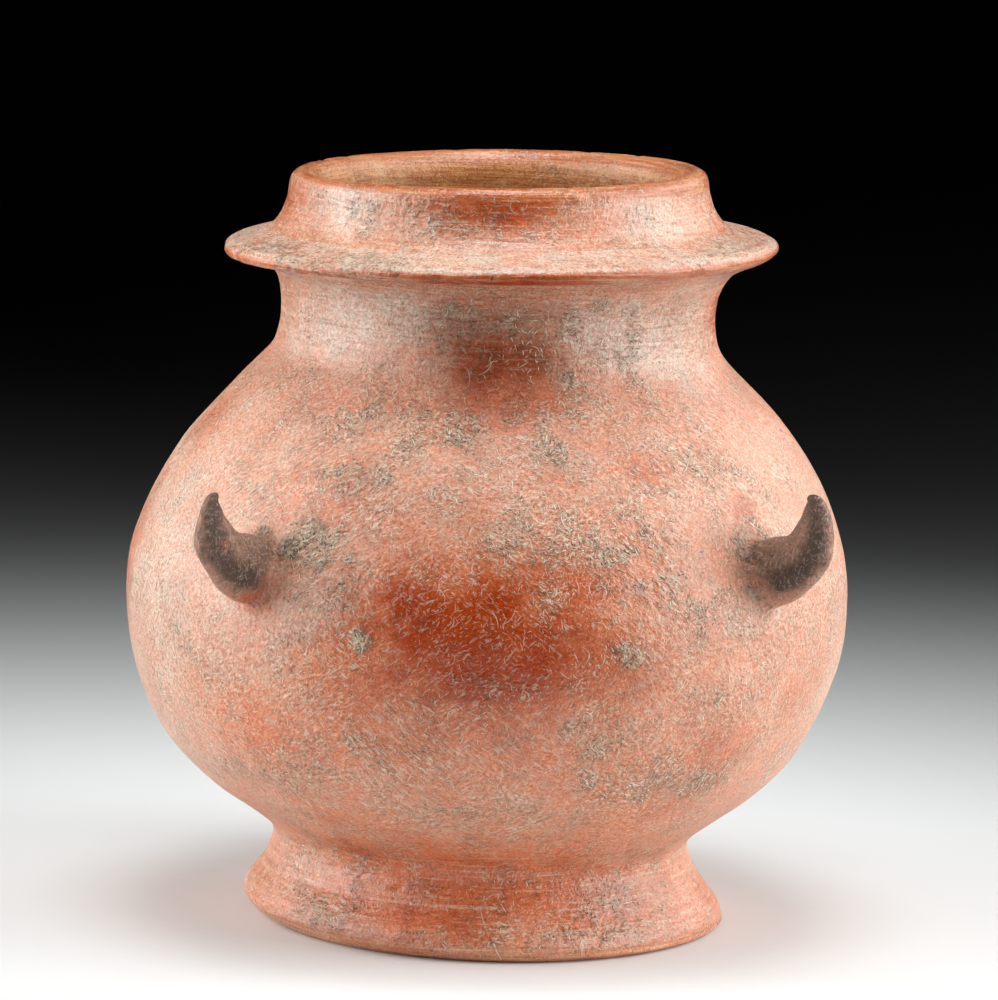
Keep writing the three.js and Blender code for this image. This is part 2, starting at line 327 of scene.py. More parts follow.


# --------------------------------------------------------------------------- where the surface changes
# Each mark: azimuth from the front (degrees, towards +X), height (mm), half-width, half-height (mm), turn (degrees), weight.
# Deeper red. The marks near azimuth 0 down the front (belly, neck, collar and foot) are partly painted shade, deeper
# where no lamp is reflected; the marks at the prongs' roots are partly painted shadow.
DEEP = [
    (2, 101, 26, 11, 0, 0.55), (-2, 112, 22, 12, 0, 0.42), (-2, 108, 42, 27, 0, 0.58), (-13, 122, 8, 6, 0, 0.45), (2, 123, 7, 5, 0, 0.15), (17, 124, 8, 6, 0, 0.20),
    (-52, 167, 24, 8, 30, 0.12), (-36, 153, 12, 4, 10, 0.18), (-27, 147, 9, 7, 40, 0.22), (-37, 119, 3.2, 7, -20, 0.75), (-26, 155, 7, 5, 0, 0.12), (-21, 175, 9, 4, 0, 0.20),
    (1, 185, 12, 9, 0, 0.42), (1, 176, 17, 7, 0, 0.28), (0, 168, 20, 6, 0, 0.14), (30, 157, 9, 6, 0, 0.25), (11, 157, 8, 5, 0, 0.12), (26, 135, 10, 8, 0, 0.16), (34, 121, 10, 9, 0, 0.14), (49, 144, 5, 5, 0, 0.30),
    (-41, 72, 16, 12, 0, 0.22), (40, 74, 14, 8, 0, 0.18), (20, 60, 8, 5, 0, 0.20), (30, 47, 14, 8, 0, 0.18), (-35, 32, 10, 6, 0, 0.25), (-30, 44, 10, 5, 0, 0.18), (0, 22, 42, 12, 0, 0.42), (-84, 122, 12, 34, 0, 0.40), (-76, 160, 10, 12, 0, 0.35), (62, 84, 14, 10, 20, 0.25), (-20, 13, 24, 4, 0, 0.35), (32, 13, 14, 3, 0, 0.30), (4, 8, 30, 3, 0, 0.2),
    (-2, 236, 20, 6, 0, 0.62), (-12, 230, 8, 4, 0, 0.30), (-4, 206, 16, 3, 0, 0.18),
    (112, 120, 34, 22, 30, 0.7), (-118, 96, 40, 18, -15, 0.7), (170, 150, 34, 16, 0, 0.7), (150, 70, 36, 18, 10, 0.6),
    (-160, 90, 22, 30, 30, 0.5), (-150, 168, 20, 10, 0, 0.5), (98, 200, 26, 8, 0, 0.6), (-100, 232, 30, 6, 0, 0.6), (180, 20, 40, 8, 0, 0.7),
]
# Paler film. The marks to either side of the front, about 25 to 70 degrees out (belly, neck and collar), are partly
# painted sheen of the side lamps; the mark beside the front-left prong's root lightens its shadow, painted light; the
# negative marks down the front middle are partly painted shade, where no lamp is reflected.
PALE = [
    (-70, 118, 48, 60, 0, 0.48), (72, 116, 42, 62, 0, 0.33), (-50, 194, 22, 14, 0, 0.45), (50, 194, 22, 14, 0, 0.70), (-2, 140, 34, 14, 0, 0.10), (-30, 203, 26, 6, 0, 0.25), (28, 200, 18, 9, 0, 0.20), (50, 164, 20, 12, 0, 0.02), (-48, 160, 20, 12, 0, 0.12),
    (-28, 116, 13, 11, 0, 0.58), (-21, 122, 7, 6, 0, 0.20), (4, 140, 22, 10, 0, 0.08), (-25, 199, 16, 8, 0, 0.25), (32, 198, 16, 9, 0, 0.58), (-34, 197, 14, 9, 0, 0.22), (-42, 204, 14, 4, 0, 0.25),
    (-44, 230, 12, 8, 0, 0.75), (46, 231, 14, 8, 0, 0.60), (-1, 56, 34, 7, 0, 0.15), (-40, 100, 16, 14, 0, 0.18),
    (1, 184, 13, 10, 0, -0.55), (1, 175, 20, 8, 0, -0.35), (-2, 104, 52, 36, 0, -0.26), (-2, 112, 60, 22, 0, -0.10), (0, 66, 60, 20, 0, -0.20), (0, 236, 18, 7, 0, -0.35),
    (0, 22, 44, 11, 0, -0.62), (0, 40, 44, 8, 0, -0.02), (-26, 46, 14, 12, 0, -0.25), (28, 50, 16, 12, 0, -0.25), (-14, 75, 18, 8, 0, -0.20), (3, 80, 14, 8, 0, -0.10), (-34, 74, 18, 14, 0, -0.28), (-24, 96, 10, 12, 0, -0.20),
    (20, 92, 12, 9, 0, -0.20), (30, 74, 10, 8, 0, -0.25), (42, 72, 12, 12, 0, -0.20), (-46, 80, 12, 12, 0, -0.15), (34, 119, 12, 11, 0, 0.12), (26, 134, 9, 9, 0, -0.20), (-14, 134, 7, 6, 0, -0.15), (-24, 145, 10, 8, 0, -0.15),
    (30, 157, 10, 6, 0, -0.20), (-20, 12, 24, 5, 0, -0.25), (32, 13, 16, 4, 0, -0.30), (-34, 32, 12, 8, 0, -0.30), (-38, 20, 10, 8, 0, -0.15), (49, 144, 6, 6, 0, -0.30), (24, 104, 10, 10, 0, -0.12), (-14, 112, 12, 10, 0, -0.12),
    (90, 90, 30, 18, 10, 0.3), (-90, 150, 30, 16, -10, 0.35), (140, 175, 26, 10, 0, 0.3), (-140, 60, 34, 14, 0, 0.3), (175, 110, 26, 20, 30, 0.3), (128, 40, 34, 12, 0, -0.3), (-165, 30, 40, 12, 0, -0.3),
]
GRIME = [
    (13, 136, 24, 12, 10, 0.28), (4, 143, 14, 7, 20, 0.08), (22, 130, 12, 9, 0, 0.25), (0, 160, 70, 20, 0, 0.12), (42, 140, 26, 34, 0, 0.04), (-62, 60, 20, 14, 0, 0.1),
    (-42, 20, 14, 12, 0, 0.19), (44, 20, 14, 12, 0, 0.22), (52, 108, 26, 20, 0, 0.03), (-19.1, 107.6, 3.4, 2.7, 0, 1.5), (19.6, 115.3, 3.4, 2.4, 20, 0.44), (24.3, 103.3, 4, 5, 60, 0.39), (-1, 97, 8, 5, -10, 0.37), (6, 92, 5, 3, 0, 0.32),
    (-25, 155, 12, 5, 35, 0.35), (-38.4, 154.6, 3.5, 2.0, 0, 0.37), (-31.3, 154.5, 4.0, 2.4, 20, 0.38), (-20.5, 154.7, 4.0, 2.2, -10, 0.38), (-5, 171, 18, 5, 15, 0.3), (53, 127, 10, 9, 0, 0.24),
    (-39.5, 133.2, 5.0, 3.4, 0, 1.35), (-35, 131, 4, 3, 0, 0.9), (-31.6, 137.3, 5.0, 4.4, 20, 0.95), (-29, 133, 7, 6, 0, 0.35), (-23.2, 130.4, 1.8, 2.6, 0, 0.51), (-27.5, 127.4, 1.6, 2.4, 0, 0.46), (-16.7, 126.1, 2.6, 2.2, 0, 0.42),
    (46.4, 138.8, 6, 7, 0, 0.29), (50, 132.2, 5, 4, 0, 0.33), (44, 128, 6, 8, 0, 0.24), (57, 135, 8, 7, 0, 0.27), (42, 158, 14, 8, -40, 0.3), (40, 114, 11, 10, 30, 0.22), (33, 118, 4, 8, 20, 0.27), (30, 126, 14, 7, 20, 0.2), (10, 164, 4, 9, 20, 0.37),
    (-33, 167, 12, 6, 30, 0.3), (-22, 123, 9, 6, 60, 0.3), (-31, 117, 5, 4, 0, 0.3), (-11, 196, 9, 8, 0, 0.3), (2.6, 198.8, 5, 5, 0, 0.35), (17.6, 200, 3.2, 5, 0, 0.46), (26.2, 205.1, 4, 2.6, 0, 0.42), (37.6, 200.8, 4, 7, 0, 0.37), (17.8, 183.4, 1.8, 2.6, 0, 0.51),
    (36, 186, 4, 9, 10, 0.38), (-8, 165, 6, 3, 0, 0.36), (-29, 184, 4, 3, 0, 0.38), (0.1, 228.7, 1.4, 7, 0, 0.37), (7.8, 227.2, 3.6, 1.8, 0, 0.3), (14, 228, 1.2, 4, 0, 0.27), (-37.3, 226, 3.2, 5, -40, 0.27), (-42.4, 232.7, 1.8, 2.2, 0, 0.3), (-21.8, 235, 5, 4, 0, 0.25),
    (-15, 230, 9, 5, 0, 0.23), (40, 231, 6, 6, 0, 0.25), (-62, 217, 16, 3, 0, 0.38), (-36, 213, 24, 3, 0, 0.36), (-36, 60, 26, 8, 15, 0.3), (34, 62, 24, 9, -10, 0.32), (20, 79, 15, 6, 0, 0.3), (-14, 72, 12, 4, 0, 0.22), (0, 52, 20, 4, 0, 0.22),
    (-36, 14, 10, 6, 0, 0.22), (-47, 11, 6, 3, 0, 0.24), (30, 15, 8, 6, 0, 0.27), (-14, 22, 8, 5, 0, 0.19), (10, 9, 16, 3.5, 0, 0.27), (-12, 7, 14, 3, 0, 0.25), (34, 9, 16, 3, 0, 0.25), (14, 27, 14, 4, 0, 0.14), (22, 104, 5, 5, 0, 0.32),
    (-56, 92, 10, 10, 0, 0.10), (-70, 120, 10, 14, 0, 0.14), (70, 105, 10, 16, 0, 0.12), (100, 150, 22, 14, 20, 0.4), (-104, 120, 20, 16, -20, 0.4), (128, 96, 18, 20, 0, 0.36), (160, 130, 24, 12, 0, 0.4), (-170, 70, 24, 14, 0, 0.4), (-132, 158, 18, 12, 0, 0.36),
    (-150, 110, 14, 18, 40, 0.36), (112, 60, 20, 10, 0, 0.36), (-95, 176, 5, 5, 0, 0.49), (-124, 128, 4, 3, 0, 0.6), (150, 165, 4, 4, 0, 0.54), (172, 96, 5, 3, 20, 0.6), (-168, 146, 3, 4, 0, 0.54), (108, 112, 4, 3, 0, 0.54), (132, 198, 4, 6, 0, 0.43),
]
# Smoke from the firing, partly painted shade: the marks down the neck front and at the collar's foot in front are
# painted shade, and the marks at the prongs' roots are painted cast shadow as well as soot.
SMOKE_AND_SHADE = [
    (1, 187, 18, 13, 0, 0.50), (0, 199, 17, 10, 0, 0.24), (0, 223.6, 16, 3, 0, 0.30), (-36, 154, 7, 5, 0, 0.20), (-41, 141, 8, 8, 0, 0.22), (-52, 126, 12, 12, 0, 0.14), (49, 144, 5, 5, 0, 0.40), (34, 111, 7, 7, 0, 0.08), (26, 100, 8, 6, 0, 0.12),
    (-46, 78, 14, 12, 0, 0.03), (40, 76, 14, 12, 0, 0.06), (-36, 22, 10, 12, 0, 0.12), (-38, 7, 22, 3, 0, 0.45), (40, 5, 18, 2.5, 0, 0.35), (48, 18, 14, 12, 0, 0.14), (40, 58, 16, 14, 0, 0.22), (-41, 22, 18, 14, 0, 0.17), (43, 22, 18, 14, 0, 0.15), (30, 157, 14, 8, 0, 0.12), (-62, 105, 60, 90, 0, 0.03), (62, 105, 60, 90, 0, 0.03),
    (-37.5, 125, 7, 9, 0, 0.60), (-38.4, 131, 9, 7, 0, 0.45), (50.5, 128, 8, 10, 0, 0.65), (48.7, 132, 9, 8, 0, 0.40), (139, 127, 9, 10, 0, 0.6), (-139, 127, 9, 10, 0, 0.6),
    (152, 96, 34, 22, 20, 0.5), (-112, 70, 22, 14, 0, 0.4), (-160, 196, 24, 10, 0, 0.4), (-62, 211, 20, 4, 0, 0.3),
]


def centre_of(az, z):
    """Nearest point of the outer skin to an azimuth and height, with its axes: along the ring, up the skin, and off it."""
    j = int(round(((az - 90.0) % 360.0) / 360.0 * ROUND)) % ROUND
    col = outer_grid[:, j]
    i = int(np.argmin(np.abs(col[:, 2] - z) + np.where(SMOOTH_N[:, j, 2] < -0.9, 5.0, 0.0)))
    n = SMOOTH_N[i, j]
    along = np.cross([0.0, 0.0, 1.0], n)
    along /= np.linalg.norm(along)
    return col[i], along, np.cross(n, along), n


def blots(p, marks, ragged, seed_noise, scale):
    """Sum of soft-edged ragged patches at points p (mm)."""
    wob = seed_noise.fractal(p / scale, 3, 0.6)
    wob2 = N5.fractal(p / (scale * 0.28) + 40.0, 2, 0.6)
    total = np.zeros(len(p))
    for az, z, hw, hh, turn, weight in marks:
        c, eu, ev, en = centre_of(az, z)
        d = p - c
        near = np.abs(d).max(1) < 2.6 * max(hw, hh) + 6
        if not near.any():
            continue
        d = d[near]
        u, v, w = d @ eu, d @ ev, d @ en
        t = math.radians(turn)
        a = (u * math.cos(t) + v * math.sin(t)) / hw
        b = (-u * math.sin(t) + v * math.cos(t)) / hh
        q = np.sqrt(a * a + b * b + (w / (1.2 * max(hw, hh))) ** 2)
        q = q + ragged * (wob[near] * 0.55 + wob2[near] * 0.3)
        total[near] += weight * smooth(1.7, 0.15, q)
    return total


def wear_and_light_of(p, inner, soot=None):
    """Two four-channel masks at points p (mm); the first carries painted sheen, painted shade and painted shadow along
    with the film, soil and smoke. inner is 0 on the outside, 1 on the inner skin and 2 under the foot.
    """
    z = p[:, 2]
    r = np.hypot(p[:, 0], p[:, 1])
    slow = N2.fractal(p / 38.0 + 7.0, 3)
    mid = N3.fractal(p / 13.0 + 2.0, 3)
    deep = blots(p, DEEP, 0.5, N4, 22.0) + 0.05 + 0.10 * slow + 0.06 * mid
    pale = blots(p, PALE, 0.5, N3, 26.0) + 0.43 + 0.17 * slow + 0.17 * mid
    grime = blots(p, GRIME, 1.25, N2, 9.0) + 0.12 + 0.21 * mid + 0.10 * N4.fractal(p / 5.0 + 3.0, 2)
    smoke_and_shade = blots(p, SMOKE_AND_SHADE, 0.7, N1, 20.0) + 0.05 + 0.13 * N5.fractal(p / 17.0 + 11.0, 3)
    pale = pale * (1 - 0.75 * np.clip(deep, 0, 1))
    # the flange: cream on top, a painted highlight where the overhead lamps fall; dark red round its outer face,
    # deepest at the front, partly painted shade where no lamp is reflected
    level = z - 0.031 * p[:, 0]
    az = np.degrees(np.arctan2(p[:, 0], -p[:, 1]))
    front = 0.30 + 0.70 * smooth(60.0, 28.0, np.abs(az) + 14 * mid)
    face = smooth(83.0, 85.5, r) * smooth(212.4, 213.3, level) * smooth(217.3, 216.4, level)
    shelf_highlight = smooth(71.5, 75.0, r) * smooth(216.5, 217.4, level) * smooth(224.5, 222.0, level)
    deep = deep * (1 - face) * (1 - 0.8 * shelf_highlight) + (0.15 + 0.70 * front + 0.15 * mid) * face
    pale = pale * (1 - 0.9 * face) * (1 - shelf_highlight) + (0.90 + 0.25 * mid) * shelf_highlight
    smoke_and_shade = smoke_and_shade * (1 - 0.6 * shelf_highlight)
    inside = np.where(inner == 1, 1 - smooth(235.5, 239.0, z), np.where(inner == 2, smooth(1.0, 4.0, z) * 0.8, 0.0))
    turned = np.clip((z - 179) / 10, 0, 1) + np.clip((38 - z) / 10, 0, 1)
    lip = smooth(236.0, 239.0, z)
    rim = smooth(86.0, 87.8, r) * smooth(212.4, 213.6, level) * smooth(217.0, 216.2, level)
    base = smooth(7.0, 3.0, z)
    edge = np.clip(lip + 0.55 * rim + 0.6 * base + 0.15 * mid * (lip + rim + base), 0, 1)
    soot = np.zeros(len(p)) if soot is None else soot
    a = np.stack([pale, deep, smoke_and_shade, grime], 1)
    b = np.stack([inside, soot, turned, edge], 1)
    return np.clip(a, 0, 1), np.clip(b, 0, 1)


# --------------------------------------------------------------------------- materials
class Shade:
    """Small helper that writes a node tree from expressions."""

    def __init__(self, name):
        self.mat = bpy.data.materials.new(name)
        self.mat.use_nodes = True
        self.tree = self.mat.node_tree
        self.bsdf = self.tree.nodes["Principled BSDF"]

    def node(self, kind, **props):
        n = self.tree.nodes.new(kind)
        for k, v in props.items():
            setattr(n, k, v)
        return n

    def put(self, socket, value):
        if isinstance(value, bpy.types.NodeSocket):
            self.tree.links.new(value, socket)
        elif isinstance(value, (tuple, list)) and len(value) == 3 and socket.type == "RGBA":
            socket.default_value = (*value, 1.0)
        else:
            socket.default_value = value

    def math(self, op, a, b=None, c=None, clamp=False):
        n = self.node("ShaderNodeMath", operation=op, use_clamp=clamp)
        for i, v in enumerate((a, b, c)):
            if v is not None:
                self.put(n.inputs[i], v)
        return n.outputs[0]

    def add(self, a, b):
        return self.math("ADD", a, b)

    def mul(self, a, b, clamp=False):
        return self.math("MULTIPLY", a, b, clamp=clamp)

    def vec(self, op, a, b=None, c=None, scale=None, out="Vector"):
        n = self.node("ShaderNodeVectorMath", operation=op)
        for i, v in enumerate((a, b, c)):
            if v is not None:
                self.put(n.inputs[i], v)
        if scale is not None:
            self.put(n.inputs["Scale"], scale)
        return n.outputs[out]

    def noise(self, vec, scale, detail=2.0, rough=0.5, distortion=0.0, out="Fac"):
        n = self.node("ShaderNodeTexNoise", noise_dimensions="3D")
        self.put(n.inputs["Vector"], vec)
        for k, v in (("Scale", scale), ("Detail", detail), ("Roughness", rough), ("Distortion", distortion)):
            n.inputs[k].default_value = v
        return n.outputs[out]

    def cells(self, vec, scale=1.0, feature="F1"):
        n = self.node("ShaderNodeTexVoronoi", voronoi_dimensions="3D", feature=feature)
        self.put(n.inputs["Vector"], vec)
        n.inputs["Scale"].default_value = scale
        return n.outputs

    def ramp(self, x, lo, hi, a=0.0, b=1.0):
        n = self.node("ShaderNodeMapRange", interpolation_type="SMOOTHSTEP")
        self.put(n.inputs["Value"], x)
        for k, v in (("From Min", lo), ("From Max", hi), ("To Min", a), ("To Max", b)):
            n.inputs[k].default_value = v
        return n.outputs[0]

    def line(self, x, lo, hi, a, b):
        n = self.node("ShaderNodeMapRange", interpolation_type="LINEAR", clamp=True)
        self.put(n.inputs["Value"], x)
        for k, v in (("From Min", lo), ("From Max", hi), ("To Min", a), ("To Max", b)):
            n.inputs[k].default_value = v
        return n.outputs[0]

    def mix(self, fac, a, b, blend="MIX"):
        n = self.node("ShaderNodeMix", data_type="RGBA", blend_type=blend, clamp_factor=True)
        self.put(n.inputs[0], fac)
        self.put(n.inputs[6], a)
        self.put(n.inputs[7], b)
        return n.outputs[2]

    def split(self, colour):
        n = self.node("ShaderNodeSeparateColor")
        self.put(n.inputs[0], colour)
        return n.outputs[0], n.outputs[1], n.outputs[2]

    def mask(self, name):
        n = self.node("ShaderNodeAttribute", attribute_name=name, attribute_type="GEOMETRY")
        r, g, b = self.split(n.outputs["Color"])
        return r, g, b, n.outputs["Alpha"]

    def strokes(self, p, normal, cell, length, width, bend, share, shift):
        """Short tapering curved marks lying in the surface, one in some of the cells of a jittered lattice."""
        q = self.vec("MULTIPLY_ADD", p, (1 / cell,) * 3, shift)
        out = self.cells(q)
        d = self.vec("SCALE", self.vec("SUBTRACT", q, out["Position"]), scale=cell)
        rnd = self.vec("SUBTRACT", out["Color"], (0.5, 0.5, 0.5))
        a = self.vec("NORMALIZE", self.vec("CROSS_PRODUCT", normal, rnd))
        b = self.vec("CROSS_PRODUCT", normal, a)
        u = self.vec("DOT_PRODUCT", d, a, out="Value")
        v = self.vec("DOT_PRODUCT", d, b, out="Value")
        r, g, bl = self.split(out["Color"])
        v2 = self.mul(v, v)
        off = self.math("ABSOLUTE", self.math("MULTIPLY_ADD", v2, self.line(g, 0, 1, -bend / length, bend / length), u))
        body = self.math("MULTIPLY_ADD", v2, -width / length**2, width)
        inside = self.math("SUBTRACT", off, body)
        chosen = self.ramp(bl, share + 0.04, share - 0.04)
        return self.math("MULTIPLY", self.ramp(inside, 0.08, -0.05), chosen), self.math("MULTIPLY", self.ramp(inside, 0.42, 0.06), chosen)

    def brushed(self, p, turn, tilt, scale, stretch):
        """Noise drawn out along one slanting direction: short parallel scuffs."""
        n = self.node("ShaderNodeMapping", vector_type="TEXTURE")
        self.put(n.inputs["Vector"], p)
        n.inputs["Rotation"].default_value = (0.0, math.radians(turn), math.radians(tilt))
        n.inputs["Scale"].default_value = (stretch, 1.0, 1.0)
        return self.noise(n.outputs[0], scale, 2.0, 0.6)


RED_DEEP = (0.450, 0.048, 0.002)
RED = (0.740, 0.212, 0.088)
ORANGE = (0.780, 0.222, 0.068)
FILM_AND_SHEEN = (0.680, 0.480, 0.370)
CREAM = (0.760, 0.620, 0.520)
BUFF = (0.800, 0.640, 0.460)
THREAD = (0.960, 0.850, 0.640)
OLIVE = (0.225, 0.165, 0.095)
ASH = (0.560, 0.470, 0.330)
BLACK = (0.035, 0.025, 0.016)


def redware(name, threads=1.0, burnish=1.0, gloss=0.0, grit=0.0, lie=(38, -32)):
    """Burnished red slip under a thin pale film, with root threads, grey soil, smoke, pits and horizontal burnishing;
    its masks also carry painted sheen, painted shade and painted shadow, and each thread has a painted shadow edge.
    """
    s = Shade(name)
    pale, deep, smoke_and_shade, grime = s.mask("wear")
    inside, soot, turned, edge = s.mask("zone")
    here = s.vec("SCALE", s.node("ShaderNodeTexCoord").outputs["Object"], scale=1000.0)
    normal = s.node("ShaderNodeNewGeometry").outputs["Normal"]
    bend = s.vec("SUBTRACT", s.noise(here, 0.33, 1.0, 0.5, out="Color"), (0.5, 0.5, 0.5))
    p = s.vec("MULTIPLY_ADD", bend, (1.6, 1.6, 1.6), here)

    grain = s.noise(here, 1.05, 2.0, 0.85)                      # about 1 mm
    patch = s.noise(here, 0.075, 4.0, 0.62)                     # about 13 mm, ragged
    mottle = s.noise(p, 0.27, 3.0, 0.7)                         # about 4 mm
    ring = s.vec("MULTIPLY", here, (0.035, 0.035, 1.0))
    streak = s.noise(ring, 0.95, 3.0, 0.7)                      # horizontal burnishing
    # short scuffs, lying one way in some places and the other way in others
    lay = s.ramp(s.noise(here, 0.035, 2.0, 0.6), 0.46, 0.54)
    scuff_a, scuff_b = s.brushed(p, lie[0], 14, 1.25, 4.2), s.brushed(p, lie[1], -20, 1.25, 4.2)
    brush = s.math("MULTIPLY_ADD", s.math("SUBTRACT", scuff_b, scuff_a), lay, scuff_a)
    level = s.noise(s.vec("MULTIPLY", p, (0.24, 0.24, 1.0)), 1.05, 2.0, 0.6)
    brush = s.math("MULTIPLY_ADD", s.math("SUBTRACT", level, brush), s.mul(turned, 0.75), brush)

    # slip, thin or thick
    red = s.mix(s.line(s.math("MULTIPLY_ADD", s.add(s.mul(mottle, 0.8), grain), 0.55, s.add(deep, -0.50)), 0.10, 0.92, 0.0, 1.0), RED, RED_DEEP)
    red = s.mix(s.mul(s.mul(s.ramp(s.add(patch, s.mul(grain, 0.30)), 0.62, 0.80), 0.45), s.line(deep, 0.3, 0.8, 1.0, 0.2)), red, ORANGE)
    # pale film, with painted sheen where the paler marks stand to either side of the front
    film_and_sheen = s.math("MULTIPLY_ADD", s.add(s.mul(patch, 1.8), s.mul(mottle, 2.4)), 0.46, s.add(pale, -0.966))
    film_and_sheen = s.math("MULTIPLY_ADD", s.add(s.add(grain, brush), -1.0), 0.85, film_and_sheen)
    film_and_sheen = s.math("MULTIPLY_ADD", smoke_and_shade, -0.30, film_and_sheen)
    film_and_sheen = s.math("MULTIPLY_ADD", deep, -0.75, film_and_sheen)
    veil_and_sheen = s.mix(s.line(film_and_sheen, 0.62, 1.25, 0.0, 1.0), FILM_AND_SHEEN, CREAM)
    col = s.mix(s.line(film_and_sheen, -0.25, 1.25, 0.0, 0.95), red, veil_and_sheen)
    # a dull wash of soil
    col = s.mix(s.line(grime, 0.05, 0.60, 0.0, 0.55), col, (0.66, 0.68, 0.66), "MULTIPLY")
    # burnishing streaks on the turned parts
    bar = s.mul(s.ramp(streak, 0.53, 0.68), s.mul(turned, 0.50 * burnish))
    col = s.mix(bar, col, BUFF)
    bar = s.mul(s.ramp(streak, 0.44, 0.31), s.mul(turned, 0.42 * burnish))
    col = s.mix(bar, col, (0.26, 0.062, 0.024))
    # olive speckle all over, thicker in the soiled places
    speck = s.noise(p, 0.62, 3.0, 0.72)
    olive = s.ramp(s.math("MULTIPLY_ADD", grime, 0.16, speck), 0.56, 0.70)
    col = s.mix(s.mul(s.mul(olive, s.line(grime, 0.0, 0.7, 0.34, 0.66)), s.line(deep, 0.3, 1.0, 1.0, 0.35)), col, OLIVE)
    # grey soil in ragged clusters
    soil = s.math("MULTIPLY_ADD", s.add(s.mul(brush, 0.9), s.add(mottle, grain)), 0.9, s.math("MULTIPLY_ADD", grime, 0.62, -1.33))
    soil = s.ramp(soil, 0.20, 0.60)
    dust = s.mix(s.ramp(s.add(brush, s.mul(grain, 0.5)), 0.68, 0.82), OLIVE, ASH)
    col = s.mix(s.mul(soil, 0.56), col, dust)
    # grain contrast
    col = s.mix(0.95, col, s.mix(s.ramp(grain, 0.30, 0.70), (0.74, 0.62, 0.55), (1.25, 1.36, 1.44)), "MULTIPLY")
    calm = s.ramp(s.noise(p, 0.055, 3.0, 0.6), 0.40, 0.58, 0.45, 1.0)
    # scuffs: the low side holds dark soil, the high side is rubbed pale
    busy = s.math("MULTIPLY_ADD", s.add(patch, s.mul(mottle, 0.6)), 0.55, s.math("MULTIPLY_ADD", grime, 0.75, -0.22))
    low_side = s.mul(s.ramp(brush, 0.445, 0.350), s.mul(s.line(busy, 0.05, 0.75, 0.26, 0.92), calm))
    col = s.mix(low_side, col, s.mix(s.line(grime, 0.1, 0.5, 0.0, 1.0), (0.240, 0.070, 0.032), (0.115, 0.088, 0.052)))
    high_side = s.mul(s.ramp(brush, 0.565, 0.640), s.mul(s.line(s.math("MULTIPLY_ADD", deep, -0.45, busy), 0.0, 0.70, 0.24, 0.92), s.mul(calm, threads)))
    col = s.mix(high_side, col, (0.900, 0.760, 0.600))
    # fine worm-like scratches
    worm = s.noise(p, 0.70, 1.5, 0.6)
    fine = s.ramp(s.math("ABSOLUTE", s.add(worm, -0.5)), 0.024, 0.006)
    gate = s.ramp(s.add(mottle, s.add(s.mul(grime, 0.25), s.mul(deep, -0.45))), 0.46, 0.62)
    col = s.mix(s.mul(s.mul(fine, gate), 0.45 * threads), col, BUFF)
    # root threads, each with a fine dark edge, a painted shadow of the raised thread
    t1, h1 = s.strokes(p, normal, 1.9, 0.60, 0.115, 0.12, 0.46, (3.1, 7.7, 1.3))
    t2, h2 = s.strokes(p, normal, 3.1, 1.00, 0.125, 0.18, 0.46, (11.9, 2.4, 5.5))
    t3, h3 = s.strokes(p, normal, 5.2, 1.70, 0.140, 0.35, 0.30, (6.3, 17.1, 9.2))
    t4, h4 = s.strokes(here, normal, 10.0, 3.4, 0.155, 0.9, 0.24, (21.4, 8.8, 13.6))
    thread = s.math("MAXIMUM", s.math("MAXIMUM", s.mul(t1, 0.9), t2), s.math("MAXIMUM", t3, t4))
    thread_shadow = s.math("MAXIMUM", s.math("MAXIMUM", s.mul(h1, 0.9), h2), s.math("MAXIMUM", h3, h4))
    show = s.line(s.math("MULTIPLY_ADD", patch, 1.0, s.add(s.mul(pale, 0.15), s.mul(grime, 0.55))), 0.30, 0.88, 0.30, 0.92)
    show = s.mul(s.mul(show, calm), s.mul(s.line(deep, 0.20, 0.90, 1.0, 0.48), threads))
    thread = s.mul(thread, show)
    thread_shadow = s.mul(thread_shadow, s.mul(show, 0.50))
    # dark pits, dashes and flecks
    d1, _ = s.strokes(p, normal, 9.5, 0.8, 0.24, 0.2, 0.20, (7.2, 31.0, 14.1))
    d2, _ = s.strokes(p, normal, 2.2, 0.60, 0.19, 0.15, 0.66, (9.1, 1.9, 27.4))
    fleck = s.mul(d2, s.ramp(s.add(s.mul(grime, 0.8), s.mul(mottle, 0.9)), 0.50, 0.92))
    dark = s.math("MAXIMUM", s.mul(s.mul(d1, s.ramp(grain, 0.38, 0.52)), 0.5), fleck)
    # smoke from the firing, with painted shade down the neck front and at the collar's foot in front, and painted
    # shadow at the prongs' roots
    smoke_and_shade_dim = s.line(s.math("MULTIPLY_ADD", s.add(mottle, grain), 0.45, s.add(smoke_and_shade, -0.45)), 0.0, 1.0, 0.0, 1.0)
    col = s.mix(smoke_and_shade_dim, col, (0.36, 0.265, 0.220), "MULTIPLY")
    # sooted prongs
    burnt = s.mix(s.line(s.math("MULTIPLY_ADD", s.add(mottle, -0.5), 0.9, smoke_and_shade), 0.05, 0.85, 0.0, 1.0), (0.265, 0.148, 0.094), (0.056, 0.029, 0.016))
    burnt = s.mix(s.mul(s.ramp(s.add(grain, brush), 1.06, 1.24), 0.45), burnt, (0.460, 0.350, 0.260))
    burnt = s.mix(s.ramp(s.add(grain, brush), 0.95, 0.78, 0.0, 0.60), burnt, (0.040, 0.024, 0.016))
    cover = s.ramp(s.math("MULTIPLY_ADD", s.add(mottle, grain), 0.8, s.add(soot, -0.80)), 0.08, 0.80)
    col = s.mix(s.mul(cover, 0.90), col, burnt)
    # worn edges
    worn = s.ramp(s.math("MULTIPLY_ADD", s.add(grain, mottle), 0.5, s.add(edge, -0.5)), 0.25, 0.8)
    col = s.mix(s.mul(worn, 0.72), col, s.mix(s.ramp(streak, 0.40, 0.66), (0.430, 0.105, 0.030), (0.760, 0.300, 0.110)))
